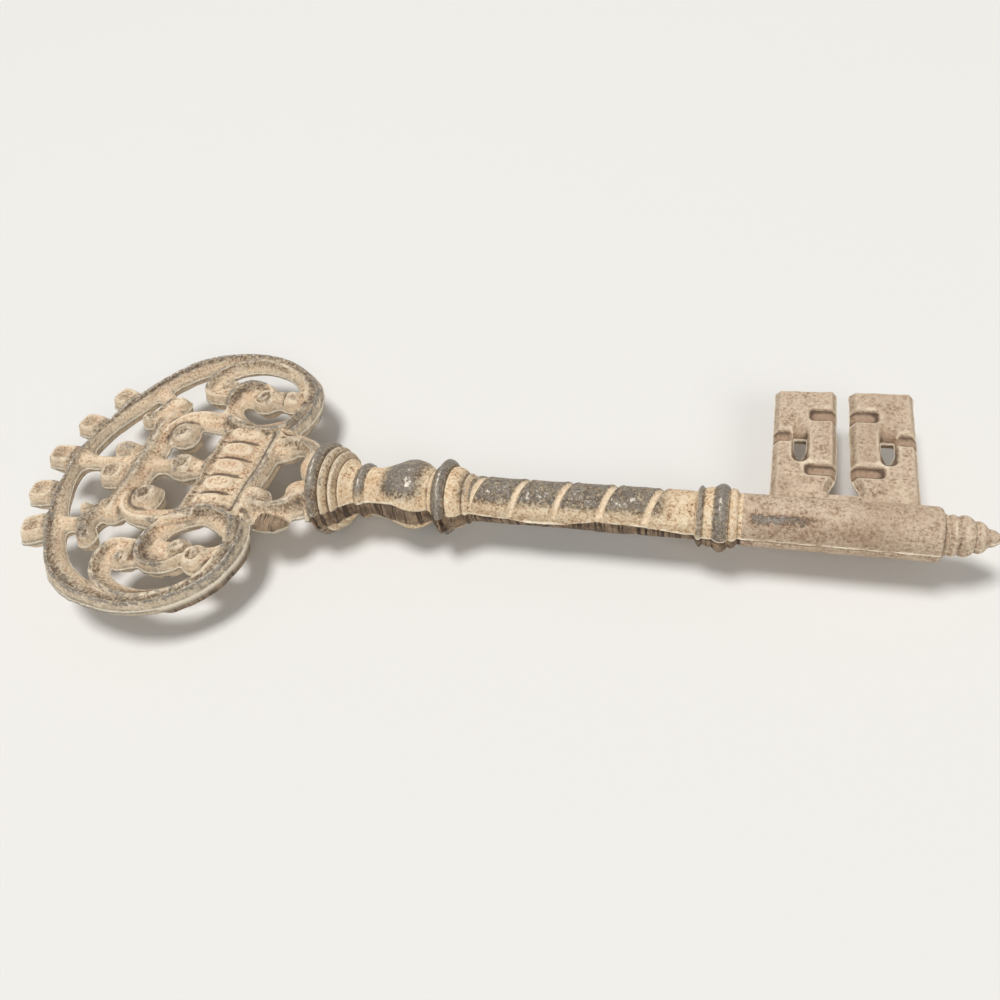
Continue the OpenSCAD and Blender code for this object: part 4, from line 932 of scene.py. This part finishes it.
# %% Mark the bare iron of the turned parts
# From, to, amount, share of it on the under side, and softness of the ends in mm.
IRON_RINGS = [[141, 146.2, 1.0, 0.8, 0.7], [146.4, 152.6, 0.4, 0.5, 0.7], [158, 162.8, 1.05, 0.3, 0.9],
              [170.5, 186.5, 1.1, 0.1, 4.0], [191.8, 196.6, 1.05, 1, 0.7], [201, 204.4, 0.5, 0.1, 1.2],
              [287.2, 289.4, 0.85, 0.7, 0.7], [292.6, 297.4, 1.1, 0.9, 0.7]]
UNDER_FROM, UNDER_TO = (118, 150), (200, 230)  # degrees round the key between which it faces down
TWIST_IRON, TWIST_UNDER, WASH_COVERS, LAST_RIDGE, LAST_KEEPS = 0.95, 0.2, (0.1, 0.5), (272, 279), 0.8
STREAK, STREAK_DEGREES, STREAK_BELOW, STREAK_ABOVE, STREAK_END, STREAK_FADE = 1.25, 120, 22, 8, 338, 26
HAZE, HAZE_DEGREES, HAZE_HALF, HAZE_END, HAZE_FADE = 0.5, 146, 30, 362, 34
BARREL_WORN_FROM = (BARREL_X + 0.5, BARREL_X + 4)


def turned_iron(name, x, degrees, wash):
    """How bare the iron is, from 0 to about 1."""
    facing_up = 1 - ease(*UNDER_FROM, degrees) * (1 - ease(*UNDER_TO, degrees))
    if name == "twisted_shank":
        upper = facing_up + TWIST_UNDER * (1 - facing_up)
        return TWIST_IRON * (1 - ease(*WASH_COVERS, wash)) * upper * (1 - LAST_KEEPS * ease(*LAST_RIDGE, x))
    if name == "barrel":
        spread = np.where(degrees > STREAK_DEGREES, STREAK_BELOW, STREAK_ABOVE)
        streak = STREAK * np.exp(-((degrees - STREAK_DEGREES) / spread) ** 2) * ease(0, STREAK_FADE, STREAK_END - x)
        haze = HAZE * np.exp(-((degrees - HAZE_DEGREES) / HAZE_HALF) ** 2) * ease(0, HAZE_FADE, HAZE_END - x)
        return ease(*BARREL_WORN_FROM, x) * np.maximum(streak, haze)
    iron = np.zeros(x.shape)
    for x0, x1, amount, under, soft in IRON_RINGS:
        there = ease(-soft, soft, x - x0) * ease(-soft, soft, x1 - x)
        iron = np.maximum(iron, amount * there * (facing_up + under * (1 - facing_up)))
    return iron


print("iron rings", len(IRON_RINGS))

# %% [markdown]
# The swept grid becomes a mesh with a cap at each end. Its points are closer together at the parting line, where the
# fin is. Normals come from the grid itself, so that the flash and the grooves shade cleanly.

# %% Sweep the turned parts
fine = np.array([-3.2, -1.8, -0.9, 0.9, 1.8, 3.2])
ANGLES = np.radians(np.unique(np.concatenate([np.linspace(0, 360, 180, endpoint=False), 180 + fine, fine % 360])))
CREST_REACH, GROOVE_CREST, FIN_SHOWN = 4, 0.9, 0.4


def swept(name):
    """(vertices, faces, normals, attributes) of a turned part, in mm in the key's own frame."""
    stations, radii = profiles[name]
    x, angle = np.meshgrid(stations, ANGLES, indexing="ij")
    degrees, (n, m) = np.degrees(angle), x.shape
    radius, groove, wash = np.repeat(radii[:, None], m, 1), np.zeros(x.shape), np.zeros(x.shape)
    if name == "twisted_shank":
        rise, groove, wash = twist(x, degrees)
        radius = radius + rise
    y, z, bumps, fin, ground = turned_surface(name, x, angle, radius)
    grid = np.stack([x, y, z], -1)
    normals = unit(np.cross(np.roll(grid, -1, 1) - np.roll(grid, 1, 1), np.gradient(grid, axis=0)).reshape(-1, 3))
    i, j = np.meshgrid(np.arange(n - 1), np.arange(m), indexing="ij")
    k = (j + 1) % m
    walls = np.stack([i * m + j, i * m + k, (i + 1) * m + k, (i + 1) * m + j], -1).reshape(-1, 4)
    j, k, last, hub = j[0], k[0], (n - 1) * m, np.full(m, n * m)
    caps = [np.column_stack([hub, k, j, j]), np.column_stack([hub + 1, last + j, last + k, last + k])]
    about = 2 * CREST_REACH + 1
    around = np.convolve(np.pad(radii, CREST_REACH, mode="edge"), np.ones(about) / about, "valid")
    # The wash mark makes the grooves pale through the crest layer, which elsewhere is a painted highlight on the
    # crests.
    marks = {"worn": (radii - around)[:, None] + bumps + GROOVE_CREST * groove, "flash": fin / FIN_SHOWN,
             "iron": turned_iron(name, x, degrees, wash), "ground": ground, "shoulder": wash, "low": np.zeros(x.shape)}
    return (np.vstack([grid.reshape(-1, 3), [[stations[0], 0, 0], [stations[-1], 0, 0]]]), np.vstack([walls] + caps),
            np.vstack([normals, [[-1, 0, 0], [1, 0, 0]]]),
            {key: np.append(value.reshape(-1), [0, 0]) for key, value in marks.items()})


shank_pieces = {name: swept(name) for name in profiles}
print({name: len(piece[1]) for name, piece in shank_pieces.items()})

# %% [markdown]
# The finish is the same thing everywhere: cast iron that was brushed with a sandy, matt wash and then rubbed, so
# that ridges show dark iron with a soft gloss. A painted picture wrapped round the key would need unwrapping and
# would blur up close, so the finish is made from nodes, in layers as the real one was. Hex colours are what the eye
# sees: one function turns them to the linear values of the shader, and one adds a node with its settings and links.

# %% Colours and one node helper
PER_MM = 1000.0


def linear(hex_colour):
    """An sRGB hex colour as linear RGBA."""
    rgb = [int(hex_colour[i:i + 2], 16) / 255 for i in (1, 3, 5)]
    return [c / 12.92 if c <= 0.04045 else ((c + 0.055) / 1.055) ** 2.4 for c in rgb] + [1.0]


def add(tree, kind, *values, **named):
    """Adds a node. Values go to its open inputs in order, names in small letters to its settings, others to inputs."""
    node = tree.nodes.new("ShaderNode" + kind)
    for key, value in named.items():
        if key.islower():
            setattr(node, key, value)
    pairs = list(zip([socket for socket in node.inputs if socket.enabled], values))
    pairs += [(node.inputs[key.replace("_", " ")], value) for key, value in named.items() if not key.islower()]
    for socket, value in pairs:
        if isinstance(value, bpy.types.Node):
            value = next(output for output in value.outputs if output.enabled)
        if isinstance(value, bpy.types.NodeSocket):
            tree.links.new(value, socket)
        else:
            socket.default_value = value
    return node


print("pale wash in linear colour", [round(c, 3) for c in linear("#edd0ac")])

# %% [markdown]
# A wash is a thin lime or mineral paint with fine sand in it, brushed on and dabbed. It dries matt and chalky, so
# the eye sees specks of sand, blotches where the brush ran dry, and a slow drift of tone along the key. Under it the
# iron has the pebbly skin of a sand mould, and where the flash was ground off, the scratches of a coarse disc.

# %% Patterns of the sand, the brush and the disc
MARKS = ("worn", "iron", "flash", "ground", "shoulder", "low")
# Size in mm, detail, roughness. The sand is about 0.4 mm and the scratches 0.5 mm wide, too fine to show, so they
# are drawn at 1.1 and 1.0 mm.
PATTERNS = {"grain": (1.1, 3.0, 0.72), "blotch": (5.0, 4.0, 0.6), "drift": (24.0, 2.0, 0.5),
            "islands": (2.6, 4.0, 0.7), "pebble": (1.7, 0.5, 0.5), "scratch": (1.0, 1.5, 0.6)}
SCRATCH_STRETCH = (1.0, 0.05, 0.05)  # the scratches run round the key, 20 times as long as wide
COAT_UNEVEN = 0.4  # how far the brush's blotches push the sand's tone up or down


def patterns(tree):
    """The marks that the mesh carries and the patterns, by name."""
    place = add(tree, "TexCoord").outputs["Object"]
    stretched = add(tree, "Mapping", place, Scale=SCRATCH_STRETCH)
    of = {key: add(tree, "Attribute", attribute_name=key).outputs["Fac"] for key in MARKS}
    for key, (size, detail, roughness) in PATTERNS.items():
        where = stretched if key == "scratch" else place
        of[key] = add(tree, "TexNoise", where, Scale=PER_MM / size, Detail=detail, Roughness=roughness)
    uneven_coat = add(tree, "Math", of["blotch"], COAT_UNEVEN, -COAT_UNEVEN / 2, operation="MULTIPLY_ADD")
    of["speck"] = add(tree, "Math", of["grain"], uneven_coat, operation="ADD")
    return of


print("patterns", {key: value[0] for key, value in PATTERNS.items()}, "mm")

# %% [markdown]
# Over the coat lie the layers that age and rubbing made, and painted light. Creases and hollows are darkened with
# painted shade and grime, a smoky film lies round the bare places, the crests, the edges and the flash line get a
# painted highlight, the shank's grooves keep a thick pale wash, and on the highest places the wash is gone and the
# iron shows in ragged islands of 2 to 3 mm that grow together. A table says how strongly each layer shows: it reads
# one mark or pattern, and goes smoothly from one strength to the other between two readings.

# %% How strongly each layer shows
LAYERS = {"drifted": ("drift", 0.46, 0.68, 0.0, 0.35), "smoke": ("speck", 0.36, 0.62, 0.95, 0.45),
          # The crease layer is painted shade in the creases.
          "smoky": ("iron", 0.0, 0.75, 0.0, 1.0), "crease_shade": ("worn", -0.62, -0.16, 0.74, 0.0),
          # The crest layer is a painted highlight on crests and edges, and on the shank also the pale wash in the
          # grooves.
          "crest_highlight_and_wash": ("worn", 0.1, 0.5, 0.0, 1.0), "kept": ("blotch", 0.36, 0.56, 0.95, 0.4),
          # The line layer is a painted highlight along the flash and the face's edge.
          "line": ("flash", 0.3, 0.8, 0.0, 0.9), "scored": ("scratch", 0.38, 0.5, 0.0, 1.0),
          "shaded": ("blotch", 0.38, 0.62, 0.75, 0.1)}
IRON_PULL, RUB_RISE = 0.36, 0.16
RAGGED_FROM, RAGGED_TO, MOST_BARE = -0.1, 0.08, 0.92


def layer_strengths(tree, of, hollow_shade_amount, bare_share, pepper):
    """Adds the strength of each layer to what the finish can read."""
    # The hollow layer here is painted shade, darkest where the face lies low.
    table = {**LAYERS, "hollow_shade": ("low", -1.5, -0.2, hollow_shade_amount, 0.0),
             "rub": ("worn", 0.0, 0.8, bare_share, bare_share + RUB_RISE)}
    for key, (source, *ends) in table.items():
        of[key] = add(tree, "MapRange", of[source], *ends, interpolation_type="SMOOTHSTEP")
    of["smoke"] = add(tree, "Math", of["smoke"], of["smoky"], operation="MULTIPLY")
    # The painted highlight on crests joins the one on edges, and the blotches break it up.
    of["crest_highlight_and_wash"] = add(tree, "Math", of["crest_highlight_and_wash"], of["shoulder"], operation="MAXIMUM")
    of["crest_highlight_and_wash"] = add(tree, "Math", of["crest_highlight_and_wash"], of["kept"], operation="MULTIPLY")
    pulled = add(tree, "Math", of["iron"], IRON_PULL, of["rub"], operation="MULTIPLY_ADD")
    ragged = add(tree, "Mix", pepper, of["islands"], of["grain"], data_type="FLOAT")
    over = add(tree, "Math", pulled, ragged, operation="SUBTRACT")
    of["rubbed"] = add(tree, "MapRange", over, RAGGED_FROM, RAGGED_TO, 0.0, MOST_BARE,
                       interpolation_type="SMOOTHSTEP")


print("layers", list(LAYERS))

# %% [markdown]
# The colours of the layers. The coat itself goes through four tones from the dark pits between the sand to its pale
# top. Cast iron that was rubbed and oiled by hands is a dark warm grey. Freshly ground iron rusts brown, so the
# ground strips are brown with pale scratches. The colours are laid over one another in the order of their making.

# %% Colours of the layers
TONE_STOPS = (0.26, 0.37, 0.48, 0.62)
IRON_DARK, IRON_LIGHT = linear("#302d2a"), linear("#bab1a6")
# Of the colours on this line, the first is painted shade for the creases.
# Of the colours on this line, the second is a painted highlight for crests and edges, and the pale wash in the shank's
# grooves.
# Of the colours on this line, the third is the painted highlight along the flash line.
CREASE_SHADE, CREST_HIGHLIGHT_AND_WASH, FLASH_HIGHLIGHT = linear("#40352b"), linear("#fbe9cd"), linear("#fff2da")
SCRATCH_DARK, SCRATCH_LIGHT, SCRATCH_SHADE = linear("#43352a"), linear("#b0967a"), linear("#574535")


def layered_colour(tree, of, tones, grime_and_shade):
    """The coat's four tones with every layer over them."""
    coat = add(tree, "ValToRGB", of["speck"])
    for _ in TONE_STOPS[2:]:
        coat.color_ramp.elements.new(0.5)
    for stop, position, tone in zip(coat.color_ramp.elements, TONE_STOPS, tones):
        stop.position, stop.color = position, linear(tone)
    iron = add(tree, "Mix", of["grain"], IRON_DARK, IRON_LIGHT, data_type="RGBA")
    filed = add(tree, "Mix", of["scored"], SCRATCH_DARK, SCRATCH_LIGHT, data_type="RGBA")
    filed = add(tree, "Mix", of["shaded"], filed, SCRATCH_SHADE, data_type="RGBA")
    colour = coat
    for key, over in (("drifted", linear(tones[1])), ("hollow_shade", linear(grime_and_shade)), ("smoke", linear(grime_and_shade)),
                      ("crease_shade", CREASE_SHADE), ("crest_highlight_and_wash", CREST_HIGHLIGHT_AND_WASH), ("rubbed", iron), ("line", FLASH_HIGHLIGHT), ("ground", filed)):
        colour = add(tree, "Mix", of[key], colour, over, data_type="RGBA")
    return colour


print("rubbed iron from", [round(c, 3) for c in IRON_DARK[:3]], "to", [round(c, 3) for c in IRON_LIGHT[:3]])

# %% [markdown]
# Gloss and relief follow the same layers, in different amounts for the bow, the shank and the bit. The wash is a
# matt paint: roughness 0.8, no metal, and the usual index of refraction of a paint, 1.5, which is the shader's own.
# The rubbed iron is metal with a roughness of 0.4, which gives a soft, broken gleam, and it keeps the default index
# too. The bump lets the sand stand up 0.9 mm, more than the real one does, so that it shows at this size, and the
# iron keeps only the broad pebbles of the mould.

# %% The whole finish
WASH_ROUGH, IRON_ROUGH, SMOKE_POLISH = 0.8, 0.4, 0.6
IRON_METAL = 0.9  # a tenth is left for the paint in its pores
BUMP_HEIGHT, ISLAND_BUMP, PEBBLE_BUMP = 0.9 * MM, 0.8, 0.65


def wash_finish(name, tones, grime_and_shade, hollow_shade_amount, bare_share, pepper):
    """The shade in hollows: how much painted shade with grime lies low. Bare_share: how much iron shows. Pepper: how
    finely its edge is broken.
    """
    material = bpy.data.materials.new(name)
    material.use_nodes = True
    tree = material.node_tree
    tree.nodes.clear()
    of = patterns(tree)
    layer_strengths(tree, of, hollow_shade_amount, bare_share, pepper)
    polish = add(tree, "Math", of["smoke"], SMOKE_POLISH, operation="MULTIPLY")
    polish = add(tree, "Math", polish, of["rubbed"], operation="MAXIMUM")
    rough = add(tree, "MapRange", polish, 0.0, 1.0, WASH_ROUGH, IRON_ROUGH)
    metal = add(tree, "MapRange", of["rubbed"], 0.0, 1.0, 0.0, IRON_METAL)
    cut = add(tree, "Math", of["scratch"], of["ground"], operation="MULTIPLY")
    sand = add(tree, "Math", of["islands"], ISLAND_BUMP, of["grain"], operation="MULTIPLY_ADD")
    sand = add(tree, "Math", sand, cut, operation="ADD")
    pebble = add(tree, "Math", of["pebble"], PEBBLE_BUMP, operation="MULTIPLY")
    skin = add(tree, "Mix", of["rubbed"], sand, pebble, data_type="FLOAT")
    skin = add(tree, "Bump", Strength=1.0, Distance=BUMP_HEIGHT, Height=skin)
    shader = add(tree, "BsdfPrincipled", Base_Color=layered_colour(tree, of, tones, grime_and_shade), Roughness=rough,
                 Metallic=metal, Normal=skin)
    add(tree, "OutputMaterial", shader)
    return material


SANDY, RUBBED = ("#5f4635", "#c89f7e", "#edd0ac", "#fbe8c9"), ("#523c2b", "#cda67f", "#f2d5ae", "#fdebcc")
ROSE_GREY = ("#745c49", "#ab8f76", "#cbb298", "#dfcab0")
# The grime colour of each finish is also its painted shade in the hollows.
finishes = {"bow_wash": wash_finish("sandy wash over cast iron", SANDY, "#5f4e3c", 0.12, 0.12, 0.15),
            "shank_wash": wash_finish("rubbed wash over cast iron", RUBBED, "#665441", 0.16, 0.16, 0.4),
            "bit_wash": wash_finish("rose-grey wash over cast iron", ROSE_GREY, "#9a7a60", 0.6, 0.15, 0.5)}
print("finishes", list(finishes))

# %% [markdown]
# Now each named piece becomes a Blender object in metres, rides on the key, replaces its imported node, and takes its
# finish. The custom normals come from the whole casting, so no seam shows between neighbours.

# %% Make the pieces
SLOTS = {s["node"]: s["material_slot"] for s in frame["record"]["subparts"]}


def make_piece(name, vertices, faces, normals, attributes):
    """A named piece of the casting, in metres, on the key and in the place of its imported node."""
    mesh = bpy.data.meshes.new(name)
    corners = [list(dict.fromkeys(face)) for face in faces.tolist()]  # a cap's face names one corner twice
    mesh.from_pydata(((vertices + [BEAD_TIP_X, 0, AXIS_HEIGHT]) * MM).tolist(), [], corners)
    for key, value in attributes.items():
        mesh.attributes.new(key, "FLOAT", "POINT").data.foreach_set("value", value.astype(np.float32))
    mesh.polygons.foreach_set("use_smooth", np.ones(len(mesh.polygons), bool))
    mesh.update()
    mesh.normals_split_custom_set_from_vertices(normals.tolist())
    mesh.materials.append(finishes[SLOTS[name]])
    piece = bpy.data.objects.new("cast_" + name, mesh)
    bpy.context.scene.collection.objects.link(piece)
    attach(piece, "root")
    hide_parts(name)


pieces = {**bow_pieces, **bit_pieces, **shank_pieces}
for name, piece in pieces.items():
    make_piece(name, *piece)
print("pieces", len(pieces), "of", len(SLOTS), "missing", sorted(set(SLOTS) - set(pieces)))

# %% [markdown]
# The stage is plain: a pale floor of matt paper, which scatters all light, so that it shows the shadow and mirrors
# nothing, and a dim even sky. What the camera sees past the floor, and what metal mirrors, is a pale wall: the Light
# Path node tells those rays apart, so the wall adds no other light to the key.

# %% Floor and sky
FLOOR_HALF, PAPER_ROUGH = 4, 0.9
SKY_STRENGTH, WALL_STRENGTH = 0.3, 1.0
floor_mesh = bpy.data.meshes.new("floor")
floor_mesh.from_pydata([(x * FLOOR_HALF, y * FLOOR_HALF, 0) for x, y in ((-1, -1), (1, -1), (1, 1), (-1, 1))], [],
                       [(0, 1, 2, 3)])
floor = bpy.data.objects.new("floor", floor_mesh)
bpy.context.scene.collection.objects.link(floor)
paper = bpy.data.materials.new("matt pale paper")
paper.use_nodes = True
paper_shader = paper.node_tree.nodes["Principled BSDF"]
paper_shader.inputs["Base Color"].default_value = linear("#e6e4e0")
paper_shader.inputs["Roughness"].default_value = PAPER_ROUGH
floor_mesh.materials.append(paper)

world = bpy.data.worlds.new("even sky")
bpy.context.scene.world = world
world.use_nodes = True
world.node_tree.nodes.clear()
sky = add(world.node_tree, "Background", linear("#f6f5f2"), SKY_STRENGTH)
wall = add(world.node_tree, "Background", linear("#dddbd7"), WALL_STRENGTH)
rays = add(world.node_tree, "LightPath")
seen = rays.outputs["Is Camera Ray"]
for kind in ("Is Glossy Ray", "Is Transmission Ray"):
    seen = add(world.node_tree, "Math", seen, rays.outputs[kind], operation="MAXIMUM")
add(world.node_tree, "OutputWorld", add(world.node_tree, "MixShader", seen, sky, wall))
print("floor", 2 * FLOOR_HALF, "m wide, sky strength", SKY_STRENGTH)

# %% [markdown]
# A broad soft lamp overhead is the window, as in the photograph, where all that faces up is bright and gleams. A
# weaker one from the camera's right keeps the near sides from going dark.

# %% Lights


def soft_light(name, place, size, watts):
    """A round lamp that is aimed at the key's middle."""
    lamp = bpy.data.lights.new(name, "AREA")
    lamp.shape, lamp.size, lamp.energy = "DISK", size, watts
    fitting = bpy.data.objects.new(name, lamp)
    bpy.context.scene.collection.objects.link(fitting)
    fitting.location = place
    fitting.rotation_euler = (-Vector(place)).to_track_quat("-Z", "Y").to_euler()


soft_light("window", (-1.1, 0.5, 6.2), 2.4, 288.0)
soft_light("fill", (2.4, -2.6, 2.6), 2.2, 48.0)

# %% [markdown]
# The camera stands where the photograph was taken from: on the plain side and nearer the bit, looking half down
# from only 0.3 m away, and rolled. Its place was worked out from the axis, the collars and the bit's corners.

# %% Camera
AZIMUTH, ELEVATION, ROLL = math.radians(27.58), math.radians(49.93), math.radians(-17.42)
DISTANCE, LENS, SENSOR = 0.2988, 28.8, 36.0
target = Vector((25.27, -0.40, 19.15)) * MM
level = math.cos(ELEVATION)
back = Vector((math.sin(AZIMUTH) * level, -math.cos(AZIMUTH) * level, math.sin(ELEVATION)))
right = (-back).cross(Vector((0, 0, 1))).normalized()
up = back.cross(right).normalized()
rolled_right = right * math.cos(ROLL) + up * math.sin(ROLL)
rolled_up = up * math.cos(ROLL) - right * math.sin(ROLL)
lens = bpy.data.cameras.new("camera")
lens.lens, lens.sensor_width, lens.clip_start, lens.clip_end = LENS, SENSOR, 0.01, 50.0
camera = bpy.data.objects.new("camera", lens)
bpy.context.scene.collection.objects.link(camera)
pose = Matrix((rolled_right, rolled_up, back)).transposed().to_4x4()
pose.translation = target + back * DISTANCE
camera.matrix_world = pose
bpy.context.scene.camera = camera
bpy.context.scene.view_settings.view_transform = "Standard"
print("camera at", [round(v, 3) for v in camera.matrix_world.translation])
